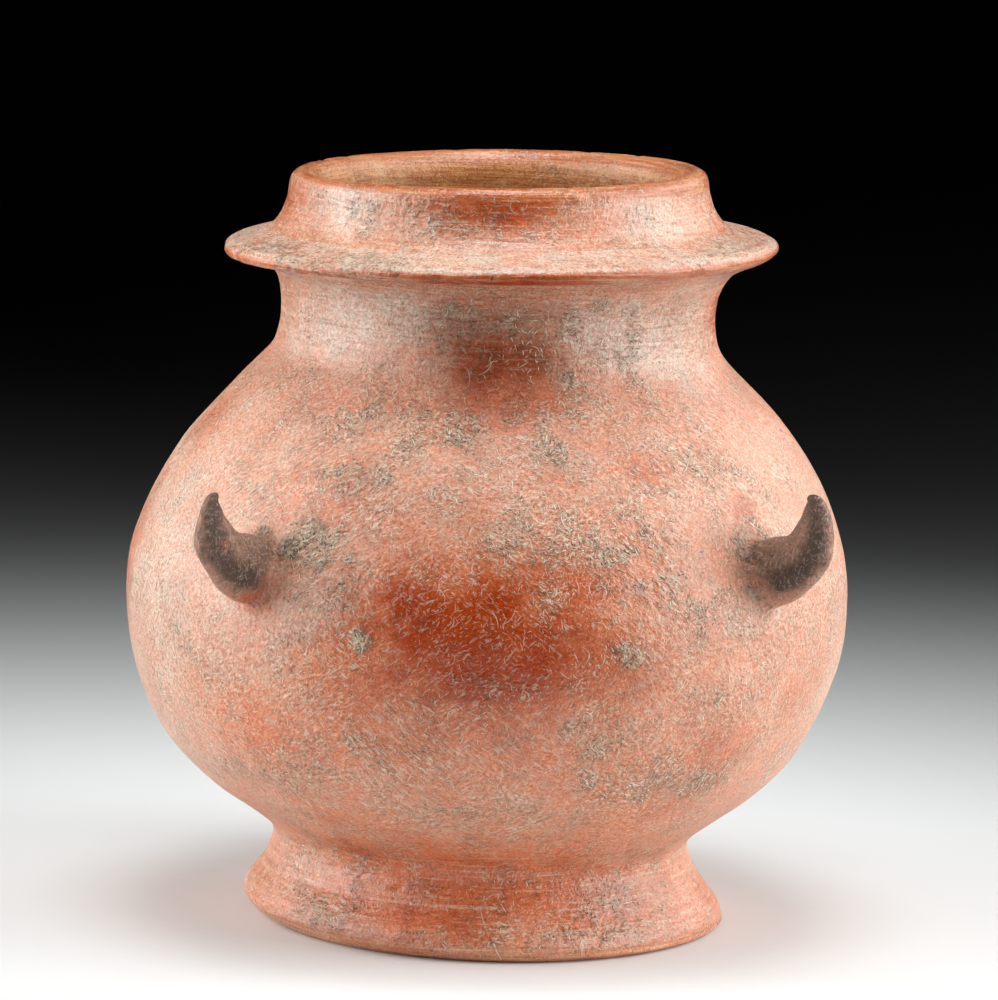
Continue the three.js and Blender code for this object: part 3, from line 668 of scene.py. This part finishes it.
    # bare clay inside and under the foot
    bare = s.mix(s.ramp(streak, 0.34, 0.66), (0.480, 0.170, 0.048), (0.760, 0.320, 0.105))
    bare = s.mix(s.ramp(s.add(mottle, patch), 1.02, 1.22, 0.0, 0.6), bare, (0.700, 0.440, 0.200))
    bare = s.mix(s.ramp(s.add(mottle, patch), 0.94, 0.80, 0.0, 0.6), bare, (0.280, 0.110, 0.040))
    bare = s.mix(s.ramp(grain, 0.50, 0.72, 0.0, 0.55), bare, (0.78, 0.54, 0.28))
    bare = s.mix(s.ramp(grain, 0.46, 0.28, 0.0, 0.55), bare, (0.20, 0.08, 0.03))
    col = s.mix(inside, col, bare)
    out = s.math("SUBTRACT", 1.0, s.mul(inside, 0.65))
    # the painted shadow round each thread
    col = s.mix(s.mul(s.mul(thread_shadow, out), s.line(s.math("MAXIMUM", grime, soot), 0.0, 0.5, 0.75, 1.0)), col, s.mix(s.line(grime, 0.1, 0.5, 0.0, 1.0), (0.200, 0.060, 0.028), (0.070, 0.052, 0.030)))
    col = s.mix(s.mul(thread, out), col, THREAD)
    col = s.mix(s.mul(dark, 0.85), col, BLACK)
    s.put(s.bsdf.inputs["Base Color"], col)
    s.bsdf.inputs["Specular IOR Level"].default_value = 0.66

    rough = s.math("MULTIPLY_ADD", film_and_sheen, 0.06, 0.385 - gloss)
    rough = s.math("MULTIPLY_ADD", s.add(grain, -0.5), 0.30, rough)
    rough = s.math("MULTIPLY_ADD", s.math("MAXIMUM", soil, cover), 0.22, rough)
    rough = s.math("MULTIPLY_ADD", deep, -0.13, rough)
    rough = s.math("MULTIPLY_ADD", inside, 0.16, rough)
    rough = s.math("MULTIPLY_ADD", edge, -0.12, rough)
    rough = s.math("MULTIPLY_ADD", thread, 0.2, rough)
    s.put(s.bsdf.inputs["Roughness"], s.line(rough, 0.18, 0.95, 0.18, 0.95))

    height = s.mul(grain, 0.16 + 0.4 * grit)
    height = s.math("MULTIPLY_ADD", s.noise(ring, 0.9, 2.0, 0.7), s.mul(turned, 0.20 * burnish), height)
    height = s.math("MULTIPLY_ADD", s.noise(here, 0.36, 3.0, 0.6), s.line(s.add(grime, soot), 0, 1.2, 0.30, 1.0 + grit), height)
    height = s.math("MULTIPLY_ADD", brush, s.line(s.math("MAXIMUM", grime, s.mul(soot, 0.8)), 0.15, 0.9, 0.12, 0.85), height)
    height = s.math("MULTIPLY_ADD", thread, 0.16, height)
    height = s.math("MULTIPLY_ADD", dark, -0.14, height)
    bump = s.node("ShaderNodeBump")
    bump.inputs["Strength"].default_value = 1.0
    bump.inputs["Distance"].default_value = 0.001
    s.put(bump.inputs["Height"], height)
    s.put(s.bsdf.inputs["Normal"], bump.outputs[0])
    return s.mat


SLIP_BODY = redware("redware_body")
SLIP_FOOT = redware("redware_foot", threads=0.85, burnish=0.8, gloss=0.02)
SLIP_RIM = redware("redware_rim", threads=0.65, burnish=1.1, gloss=0.16)
PRONG = redware("redware_prong", threads=0.45, burnish=0.5, grit=0.25, lie=(78, 104))


def rings_mesh(grids, normals, kinds, width):
    """Vertices, faces, normals and kinds of a closed piece from rings that follow one another round a closed section; a ring of radius 0 becomes one point."""
    rings = np.concatenate(grids)
    norms = np.concatenate(normals)
    kind = np.concatenate([np.full(len(g), k) for g, k in zip(grids, kinds, strict=True)])
    verts, vnorm, vkind, first = [], [], [], []
    count = 0
    for ring, nn, kk in zip(rings, norms, kind, strict=True):
        first.append(count)
        single = np.ptp(ring, axis=0).max() < 1e-6
        verts.append(ring[:1] if single else ring)
        vnorm.append(nn.mean(0, keepdims=True) if single else nn)
        vkind.append(np.full(len(verts[-1]), kk))
        count += len(verts[-1])
    j = np.arange(width)
    j1 = (j + 1) % width
    faces = []
    none = np.full(width, -1)
    for i in range(len(first)):
        k = (i + 1) % len(first)
        na = (first[i + 1] if i + 1 < len(first) else count) - first[i]
        nb = (first[k + 1] if k + 1 < len(first) else count) - first[k]
        a, b = first[i], first[k]
        if na == 1 and nb == 1:
            continue
        if na == 1:
            faces.append(np.stack([np.full(width, a), b + j1, b + j, none], 1))
        elif nb == 1:
            faces.append(np.stack([a + j, a + j1, np.full(width, b), none], 1))
        else:
            faces.append(np.stack([a + j, a + j1, b + j1, b + j], 1))
    return np.concatenate(verts), np.concatenate(faces), np.concatenate(vnorm), np.concatenate(vkind)


def build(name, verts, faces, vnorm, wear, zone, material, node):
    mesh = bpy.data.meshes.new(name)
    sizes = np.where(faces[:, 3] >= 0, 4, 3)
    loops = faces.reshape(-1)[faces.reshape(-1) >= 0]
    starts = np.concatenate([[0], np.cumsum(sizes)[:-1]])
    mesh.vertices.add(len(verts))
    mesh.vertices.foreach_set("co", (verts * MM).astype(np.float32).ravel())
    mesh.loops.add(len(loops))
    mesh.loops.foreach_set("vertex_index", loops.astype(np.int32))
    mesh.polygons.add(len(faces))
    mesh.polygons.foreach_set("loop_start", starts.astype(np.int32))
    mesh.polygons.foreach_set("loop_total", sizes.astype(np.int32))
    mesh.polygons.foreach_set("use_smooth", np.ones(len(faces), bool))
    mesh.update()
    mesh.validate()
    # the wear mask carries painted sheen, painted shade and painted shadow along with the film, soil and smoke
    for key, values in (("wear", wear), ("zone", zone)):
        att = mesh.attributes.new(key, "FLOAT_COLOR", "POINT")
        att.data.foreach_set("color", values.astype(np.float32).ravel())
    length = np.linalg.norm(vnorm, axis=1, keepdims=True)
    vnorm = np.where(length > 1e-6, vnorm / np.maximum(length, 1e-12), [[0, 0, 1]])
    mesh.normals_split_custom_set_from_vertices(vnorm.tolist())
    mesh.materials.append(material)
    ob = bpy.data.objects.new(name, mesh)
    bpy.context.scene.collection.objects.link(ob)
    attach(ob, "root")
    if node:
        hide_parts(node)
    return ob


def ring_piece(node, material, grids, normals, kinds):
    verts, faces, vnorm, kind = rings_mesh(grids, normals, kinds, ROUND)
    wear, zone = wear_and_light_of(verts, kind)
    return build(node + "_skin", verts, faces, vnorm, wear, zone, material, node)


# inner skin, coarser, from the axis of the floor up to the lip
under, _ = curve(UNDERSIDE + [[62.6, 26.0]] + OUTER[O_FOOT : O_NECK + 1], 3.0)
inner_body = inwards(under, WALL)
inner_body[0, 0] = 0.0
inner_body = inner_body[inner_body[:, 1] < 184.0]
inner_all = np.concatenate([inner_body[:-1], np.array(INNER_TOP), [[61.3, 240.15]]])
inner_line, _ = curve(inner_all, 3.2)
inner_line[0, 0] = 0.0
rows = {k: marks[v] for k, v in {"foot": O_FOOT, "belly": O_BELLY, "neck": O_NECK, "flange": O_FLANGE, "collar": O_COLLAR}.items()}
top = len(line) - 1


def nearest_inner(z):
    return int(np.argmin(np.abs(inner_line[:, 1] - z) + np.where(inner_line[:, 0] < 40, 1e3, 0)))


cut = {"belly": nearest_inner(95.0), "neck": nearest_inner(180.0), "flange": nearest_inner(210.6), "collar": nearest_inner(222.0)}
in_grid = skin_points(inner_line)
in_soft = 0.25 * N5(in_grid / np.array([40.0, 40.0, 22.0])) + 0.06 * N3(in_grid / np.array([80.0, 80.0, 3.4]))
in_n = -grid_normals(in_grid)
in_grid = in_grid + in_n * in_soft[..., None] * np.clip(inner_line[:, 0] / 20, 0, 1)[:, None, None]
in_n = -grid_normals(in_grid)
in_n[0] = [0, 0, 1]
in_grid[0] = in_grid[0].mean(0)
# the lip rolls over from the outer skin to the inner one
joined = np.concatenate([outer_grid[-3:], in_grid[::-1][:3]])
joined_n = grid_normals(joined)
outer_n[-1] = joined_n[2]
in_n[-1] = joined_n[3]

# foot ring: outer skin, seat under the bowl, inner face, flat wear band
foot_in, _ = curve([[54.3, 21.9]] + FOOT_INNER, 1.6)
foot_in[-1] = [68.4, 0.0]
foot_grid = skin_points(foot_in)
foot_soft = 0.2 * N5(foot_grid / 20.0)
foot_soft[-1] = 0
foot_grid[:-1] += (-grid_normals(foot_grid) * foot_soft[..., None])[:-1]
foot_n = grid_normals(foot_grid)
ring_piece("foot_ring", SLIP_FOOT, [outer_grid[: rows["foot"] + 1], foot_grid], [outer_n[: rows["foot"] + 1], foot_n], [0, 2])

under_line, _ = curve(UNDERSIDE + [[62.6, 26.0], OUTER[O_FOOT]], 4.6)
under_line[0, 0] = 0.0
under_grid = skin_points(under_line[:-1])
under_n = grid_normals(skin_points(under_line))[:-1]
under_n[0] = [0, 0, -1]
under_grid[0] = under_grid[0].mean(0)
ring_piece(
    "lower_bowl", SLIP_BODY,
    [under_grid, outer_grid[rows["foot"] : rows["belly"] + 1], in_grid[: cut["belly"] + 1][::-1]],
    [under_n, outer_n[rows["foot"] : rows["belly"] + 1], in_n[: cut["belly"] + 1][::-1]],
    [2, 0, 1],
)
for node, a, b, slot, material in (
    ("upper_shoulder", "belly", "neck", "slip_body", SLIP_BODY),
    ("neck", "neck", "flange", "slip_body", SLIP_BODY),
    ("rim_flange", "flange", "collar", "slip_rim", SLIP_RIM),
    ("rim_collar", "collar", None, "slip_rim", SLIP_RIM),
):
    ra, rb = rows[a], rows[b] if b else top
    ca, cb = cut[a], cut[b] if b else len(inner_line) - 1
    ring_piece(node, material, [outer_grid[ra : rb + 1], in_grid[ca : cb + 1][::-1]], [outer_n[ra : rb + 1], in_n[ca : cb + 1][::-1]], [0, 1])

# --------------------------------------------------------------------------- prongs
PRONGS = {  # azimuth from the front, lift, how far the clay is smeared out over the shoulder, how far the tip leans out, sideways and up (mm), and its taper
    "prong_front_left": (-38.4, -1.0, 7.5, (1.5, -1.3, -1.6), 0.72),
    "prong_front_right": (48.7, 1.0, 7.0, (0.2, 0.2, -0.6), 0.90),
    "prong_back_right": (139.0, 0.7, 7.5, (0.4, 0.8, -0.9), 0.85),
    "prong_back_left": (-139.0, -0.5, 7.0, (0.8, 0.5, -0.8), 0.80),
}
PRONG_TIP = [131.0, 152.3]
PRONG_UPPER = [[129.0, 150.0], [127.8, 147.5], [127.1, 144.8], [126.0, 142.2], [124.6, 139.8], [122.5, 137.9], [119.9, 137.1], [117.1, 136.5], [114.4, 135.7], [111.7, 135.0], [108.9, 134.4], [106.1, 133.9], [103.3, 133.6], [100.6, 133.3]]
PRONG_LOWER = [[135.7, 150.1], [138.1, 145.7], [139.4, 140.9], [139.4, 136.0], [138.1, 131.2], [135.7, 126.9], [132.5, 123.1], [128.7, 119.8], [124.5, 117.2], [119.9, 115.3], [115.1, 113.8], [110.4, 112.5], [105.6, 110.9], [101.0, 109.0]]
PRONG_SIDE = [2.4, 3.5, 4.3, 4.8, 4.95, 5.05, 5.3, 5.75, 6.2, 6.9, 7.7, 8.7, 9.8, 10.8]
AROUND = 160


def prong_table(t):
    """Upper edge, lower edge and half-thickness at stations t (0 is the first section, 13 the root), by Catmull-Rom."""
    vals = np.concatenate([PRONG_UPPER, PRONG_LOWER, np.array(PRONG_SIDE)[:, None]], 1)
    i = np.clip(np.floor(t).astype(int), 0, len(vals) - 2)
    u = (t - i)[:, None]
    ext = np.concatenate([2 * vals[:1] - vals[1:2], vals, 2 * vals[-1:] - vals[-2:-1]])
    a, b, c, d = ext[i], ext[i + 1], ext[i + 2], ext[i + 3]
    v = 0.5 * (2 * b + (c - a) * u + (2 * a - 5 * b + 4 * c - d) * u**2 + (3 * b - a - 3 * c + d) * u**3)
    return v[:, 0:2], v[:, 2:4], v[:, 4]


def dense(points, k=10):
    """The same line with k times as many points."""
    pts = np.array(points)
    t = np.linspace(0, len(pts) - 1, (len(pts) - 1) * k + 1)
    return np.stack([np.interp(t, np.arange(len(pts)), pts[:, c]) for c in range(2)], 1)


def off_skin(p):
    """Arc length along the line, angle, and height off the ideal skin of points near it."""
    theta = np.arctan2(p[..., 1], p[..., 0] - table(CENTRE_X, p[..., 2]))
    r = np.hypot(p[..., 0] - table(CENTRE_X, p[..., 2]), p[..., 1])
    z = p[..., 2] - r * np.cos(theta) * table(LEAN, p[..., 2])
    q = np.stack([r, z], -1).reshape(-1, 2)
    lo, hi = rows["foot"], rows["neck"]
    sub, sarc = line[lo:hi], line_arc[lo:hi]
    seg = sub[1:] - sub[:-1]
    k = np.linalg.norm(q[:, None] - sub[None], axis=2).argmin(1)
    best_h, best_s = np.full(len(q), 1e9), np.zeros(len(q))
    for dk in (-1, 0):
        kk = np.clip(k + dk, 0, len(seg) - 1)
        t = np.clip(((q - sub[kk]) * seg[kk]).sum(1) / (seg[kk] ** 2).sum(1), 0, 1)
        foot = sub[kk] + seg[kk] * t[:, None]
        nrm = np.stack([seg[kk][:, 1], -seg[kk][:, 0]], 1) / np.linalg.norm(seg[kk], axis=1)[:, None]
        h = ((q - foot) * nrm).sum(1)
        better = np.abs(h) < np.abs(best_h)
        best_h = np.where(better, h, best_h)
        best_s = np.where(better, sarc[kk] + t * np.linalg.norm(seg[kk], axis=1), best_s)
    return best_s.reshape(r.shape), theta, best_h.reshape(r.shape)


def round_off(x, sigma):
    """Values round a closed line, each averaged with its neighbours."""
    k = np.arange(-12, 13)
    w = np.exp(-0.5 * (k / sigma) ** 2)
    return sum(wi * np.roll(x, int(ki)) for wi, ki in zip(w / w.sum(), k, strict=True))


def prong_piece(node, az, lift, smear, lean, taper):
    phi = math.radians(az)
    a = np.arange(AROUND) * 2 * np.pi / AROUND
    ends = np.array([0.16, 0.3, 0.44, 0.58, 0.72, 0.86, 1.0]) * np.pi / 2
    t = np.concatenate([np.zeros(len(ends)), np.linspace(0, 13, 104)[1:]])
    up_, low, side = prong_table(t)
    mid, half = (up_ + low) / 2, (low - up_) / 2
    cap = np.concatenate([ends, np.full(103, np.pi / 2)])
    mid = np.array(PRONG_TIP) + (mid - PRONG_TIP) * np.where(cap < np.pi / 2, 1 - np.cos(cap), 1.0)[:, None]
    slim = taper + (1 - taper) * smooth(0.0, 3.6, t)
    half, side = half * (np.sin(cap) * slim)[:, None], side * np.sin(cap) * slim
    # the section is a little keeled towards the outer edge, as a lug pulled between finger and thumb
    ca, sa = np.cos(a), np.sin(a)
    keel = 1 - 0.10 * np.clip(ca, 0, 1) ** 2
    bow = smooth(6.5, 0.0, t)[:, None]
    r = mid[:, :1] + half[:, :1] * ca + lean[0] * bow
    z = mid[:, 1:] + half[:, 1:] * ca + lift + lean[2] * bow
    w = side[:, None] * sa * keel + lean[1] * bow
    pts = np.stack([r * math.sin(phi) + w * math.cos(phi), -r * math.cos(phi) + w * math.sin(phi), z], -1)
    arc, theta, h = off_skin(pts)
    base = 3.6 + 1.1 * np.cos(a) + 0.5 * np.sin(2 * a + az)            # the fillet starts this far off the skin, higher on the outer side
    steps = 20
    n_free = 96
    grid, normal_hint = [], []
    start = np.zeros((AROUND, 3))
    foot = np.zeros((AROUND, 2))
    head = np.zeros((AROUND, 2))
    free = np.zeros((n_free, AROUND, 3))
    for j in range(AROUND):
        k = int(np.argmax(h[:, j] < base[j]))
        f = (h[k - 1, j] - base[j]) / (h[k - 1, j] - h[k, j])
        k0 = int(np.argmax(h[:, j] < 0.0))
        g = h[k0 - 1, j] / (h[k0 - 1, j] - h[k0, j])
        foot[j] = [arc[k0 - 1, j] * (1 - g) + arc[k0, j] * g, theta[k0 - 1, j] * (1 - g) + theta[k0, j] * g]
        head[j] = [arc[k - 1, j] * (1 - f) + arc[k, j] * f, theta[k - 1, j] * (1 - f) + theta[k, j] * f]
        path = np.concatenate([pts[:k, j], (pts[k - 1, j] * (1 - f) + pts[k, j] * f)[None]])
        ln = np.concatenate([[0], np.cumsum(np.linalg.norm(np.diff(path, axis=0), axis=1))])
        want = np.concatenate([ln[: len(ends)], np.linspace(ln[len(ends) - 1], ln[-1], n_free - len(ends) + 1)[1:]])
        free[:, j] = np.stack([np.interp(want, ln, path[:, c]) for c in range(3)], 1)
    scale = np.interp(foot[:, 0], line_arc, line[:, 0])
    middle = foot.mean(0)
    flat_ = np.stack([(foot[:, 1] - middle[1]) * scale, foot[:, 0] - middle[0]], 1)
    # the outline of the root, rounded off so that it runs once about its middle and never turns back
    turn_ = np.unwrap(np.arctan2(flat_[:, 1], flat_[:, 0]))
    way = np.sign(turn_[-1] - turn_[0])
    turn_ = round_off(turn_ - way * a, 3.0) + way * a
    step = np.maximum(way * (np.append(turn_[1:], turn_[0] + way * 2 * np.pi) - turn_), 0.35 * 2 * np.pi / AROUND)
    turn_ = turn_[0] + way * np.concatenate([[0], np.cumsum(step * 2 * np.pi / step.sum())[:-1]])
    radius = round_off(np.linalg.norm(flat_, axis=1), 3.0)
    ray = np.stack([np.cos(turn_), np.sin(turn_)], 1)
    reach = smear * (1 + 0.22 * np.cos(2 * a + az) + 0.12 * np.sin(3 * a + 2 * az))
    u = np.linspace(0, 1, steps + 1)[1:, None]
    b0, b1, b2 = (1 - u) ** 2, 2 * u * (1 - u), u**2
    near_arc = middle[0] + ray[:, 1] * radius
    near_th = middle[1] + ray[:, 0] * radius / np.interp(near_arc, line_arc, line[:, 0])
    far_arc = middle[0] + ray[:, 1] * (radius + reach)
    far_th = middle[1] + ray[:, 0] * (radius + reach) / np.interp(far_arc, line_arc, line[:, 0])
    arc_u = b0 * head[:, 0] + b1 * near_arc + b2 * far_arc
    th_u = b0 * head[:, 1] + b1 * near_th + b2 * far_th
    h_u = b0 * base + 0.02 - 0.40 * smooth(0.86, 1.0, u)
    skin, skin_n, ideal_n = skin_at(arc_u, th_u)
    skirt = skin + ideal_n * h_u[..., None]
    # the body's own unevenness fades in towards the root of the free part
    all_rows = np.concatenate([free, skirt])
    m_ = len(all_rows)
    du = np.gradient(all_rows, axis=0)
    dv = np.roll(all_rows, -1, axis=1) - np.roll(all_rows, 1, axis=1)
    nn = np.cross(du, dv)
    nn /= np.maximum(np.linalg.norm(nn, axis=-1, keepdims=True), 1e-12)
    centre = all_rows.mean(1, keepdims=True)
    if ((all_rows - centre) * nn).sum(-1)[: n_free // 2].mean() < 0:
        nn = -nn
    nn[0] = nn[0].mean(0)
    q = all_rows
    fade = np.concatenate([np.ones(n_free), 1 - smooth(0.45, 0.92, u[:, 0])])[:, None]
    lumps = 0.34 * N1(q / 9.0 + az) + 0.13 * N2(q / 3.6 + az) + 0.06 * N3(q / 1.7 + az) + 0.03 * np.abs(N4(q / 0.95))
    all_rows = all_rows + nn * (lumps * fade)[..., None]
    du = np.gradient(all_rows, axis=0)
    dv = np.roll(all_rows, -1, axis=1) - np.roll(all_rows, 1, axis=1)
    sign = np.sign((np.cross(du, dv) * nn).sum(-1).mean())
    nn = np.cross(du, dv) * sign
    nn /= np.maximum(np.linalg.norm(nn, axis=-1, keepdims=True), 1e-12)
    hand = smooth(0.55, 0.85, u[:, 0])[:, None, None]
    nn[n_free:] = nn[n_free:] * (1 - hand) + skin_n * hand
    nn[0] = nn[0].mean(0)
    tip = all_rows[:1].mean(1, keepdims=True) + nn[0].mean(0) * 0.12
    tip = np.repeat(tip, AROUND, 1)
    last = all_rows[-1]
    sink = -ideal_n[-1] * 0.5
    mid_pt = (last + sink).mean(0)
    under1 = (last + sink)[None]
    under2 = (mid_pt + (last + sink - mid_pt) * 0.5)[None]
    under3 = np.repeat(mid_pt[None, None], AROUND, 1)
    grids = [tip, all_rows, under1, under2, under3]
    normals = [np.repeat(nn[:1].mean(1, keepdims=True), AROUND, 1), nn, -ideal_n[-1:], -ideal_n[-1:], np.repeat(-ideal_n[-1:].mean(1, keepdims=True), AROUND, 1)]
    verts, faces, vnorm, kind = rings_mesh(grids, normals, [0] * 5, AROUND)
    # faces point out when the rings run the other way round
    tri = verts[faces[AROUND * 30 : AROUND * 60, :3]]
    fn = np.cross(tri[:, 1] - tri[:, 0], tri[:, 2] - tri[:, 0])
    if (fn * vnorm[faces[AROUND * 30 : AROUND * 60, 0]]).sum() < 0:
        quads = faces[:, 3] >= 0
        faces = np.where(quads[:, None], faces[:, ::-1], np.stack([faces[:, 0], faces[:, 2], faces[:, 1], faces[:, 3]], 1))
    _, _, high = off_skin(verts)
    # the flame blackened the hollow side and the flanks; the outer back is left unsooted, painted light on the side
    # that the lamps fall on
    flat2 = np.stack([verts[:, 0] * math.sin(phi) - verts[:, 1] * math.cos(phi), verts[:, 2] - lift], 1)
    near_up = np.linalg.norm(flat2[:, None] - dense(PRONG_UPPER)[None], axis=2).min(1)
    near_low = np.linalg.norm(flat2[:, None] - dense(PRONG_LOWER)[None], axis=2).min(1)
    back = near_up / (near_up + near_low)
    flank = (verts[:, 0] * math.cos(phi) + verts[:, 1] * math.sin(phi)) * (1 if az < 0 else -1)
    low_down = smooth(131.0, 122.0, flat2[:, 1])
    lit_back = smooth(0.0, 1.0, (back + 0.05 * N1(verts / 4.0) - (0.84 - 0.20 * low_down)) / (0.24 + 0.10 * low_down))
    soot = smooth(0.2, 6.0 + 4.0 * low_down, high + 2.4 * N2(verts / 6.0 + 2.0) + 1.0 * N3(verts / 2.2)) * (1 - 0.72 * lit_back)
    # the blackest soot runs down beside the outer edge; the darker pool under the bend, on the flank towards the front,
    # is painted shade; a red spot shows through above it
    black = np.array([[131.8, 150.5], [134.6, 145.5], [135.6, 139.5], [134.4, 133.5], [130.6, 128.0], [124.6, 124.4]])
    far = np.linalg.norm(flat2[:, None] - dense(black)[None], axis=2).min(1) + 0.9 * N3(verts / 3.4 + 1.0)
    black_band = np.exp(-((far / 3.0) ** 2))
    spine = np.array([[133.2, 149.0], [132.6, 144.0], [129.6, 138.0], [126.4, 132.6]])
    off = np.linalg.norm(flat2[:, None] - dense(spine)[None], axis=2).min(1) + 0.8 * N2(verts / 3.0 + 5.0)
    shown = smooth(0.5, 2.5, flank)
    soot = soot * (1 - 0.36 * np.exp(-((off / 1.9) ** 2)) * shown)
    spot = np.exp(-(((flat2[:, 0] - 133.2) / 1.7) ** 2) - ((flat2[:, 1] - 135.2) / 3.4) ** 2) * shown * (1.0 if node == "prong_front_left" else 0.4)
    soot = soot * (1 - 0.85 * spot)
    shade_pool = np.exp(-(((flat2[:, 0] - 125.0) / 6.0) ** 2) - ((flat2[:, 1] - 125.0) / 4.5) ** 2) * shown
    wear, zone = wear_and_light_of(verts, kind, soot)
    # paler all over, most on the outer back: painted sheen of the side lamps
    wear[:, 0] = np.clip(wear[:, 0] + 0.12 + 0.14 * lit_back * (1 - low_down), 0, 1)
    wear[:, 1] = np.clip(wear[:, 1] + 0.75 * spot, 0, 1)
    off_body = smooth(0.8, 4.5, high)
    # the smoke channel off the body: soot, with the painted shade of the pool under the bend
    soot_and_shade = np.clip(0.27 + 0.75 * black_band + 0.35 * shade_pool + 0.14 * N5.fractal(verts / 5.0, 2), 0, 1)
    wear[:, 2] = np.clip(wear[:, 2] * (1 - off_body) + soot_and_shade * off_body, 0, 1)
    return build(node + "_horn", verts, faces, vnorm, wear, zone, PRONG, node)


for node, args in PRONGS.items():
    prong_piece(node, *args)

# --------------------------------------------------------------------------- stage and light
bpy.ops.mesh.primitive_plane_add(size=14, location=(0, 2.0, 0))
floor = bpy.context.object
floor.name = "floor"
fmat = bpy.data.materials.new("floor_pale")
fmat.use_nodes = True
fb = fmat.node_tree.nodes["Principled BSDF"]
fb.inputs["Base Color"].default_value = (0.785, 0.813, 0.813, 1)
fb.inputs["Roughness"].default_value = 0.8
fb.inputs["Specular IOR Level"].default_value = 0.2
floor.data.materials.append(fmat)


def area(name, loc, target, sx, sy, power, spread=180.0, colour=(1, 1, 1)):
    data = bpy.data.lights.new(name, "AREA")
    data.shape, data.size, data.size_y = "RECTANGLE", sx, sy
    data.energy, data.color = power, colour
    data.spread = math.radians(spread)
    ob = bpy.data.objects.new(name, data)
    ob.location = loc
    ob.rotation_euler = (Vector(target) - Vector(loc)).to_track_quat("-Z", "Y").to_euler()
    bpy.context.scene.collection.objects.link(ob)
    return ob


def softbox(name, az, reach, height, target, sx, sy, power, spread):
    t = math.radians(az)
    return area(name, (reach * math.sin(t), -reach * math.cos(t), height), target, sx, sy, power, spread)


softbox("side_left", -100, 0.70, 0.44, (0, 0, 0.12), 0.80, 0.84, 0.58, 80)
softbox("side_left_low", -78, 0.75, 0.24, (0, 0, 0.12), 0.60, 0.44, 0.69, 80)
softbox("rim_left_low", -100, 0.72, 0.22, (0, -0.05, 0.12), 0.80, 0.40, 0.33, 80)
softbox("high_left", -78, 0.75, 0.75, (0, -0.05, 0.05), 0.60, 0.50, 0.22, 60)
softbox("front_left", -50, 0.90, 0.60, (0, 0, 0.12), 0.60, 0.60, 0.31, 70)
softbox("side_right", 125, 0.75, 0.45, (0, 0, 0.12), 0.60, 0.80, 0.50, 70)
softbox("side_right_low", 78, 0.75, 0.24, (0, 0, 0.12), 0.60, 0.44, 1.16, 80)
softbox("high_right", 78, 0.75, 0.75, (0, -0.05, 0.05), 0.60, 0.50, 0.57, 60)
area("overhead", (0, -0.02, 0.98), (0, 0, 0.15), 0.50, 0.40, 0.50, 60)
area("overhead_front", (0, -0.30, 0.98), (0, -0.10, 0.15), 0.80, 0.40, 0.34, 60)

world = bpy.data.worlds.new("room")
world.use_nodes = True
world.node_tree.nodes["Background"].inputs["Color"].default_value = (0.0003, 0.0003, 0.0003, 1)
world.node_tree.nodes["Background"].inputs["Strength"].default_value = 1.0
bpy.context.scene.world = world
bpy.context.scene.view_settings.view_transform = "Standard"
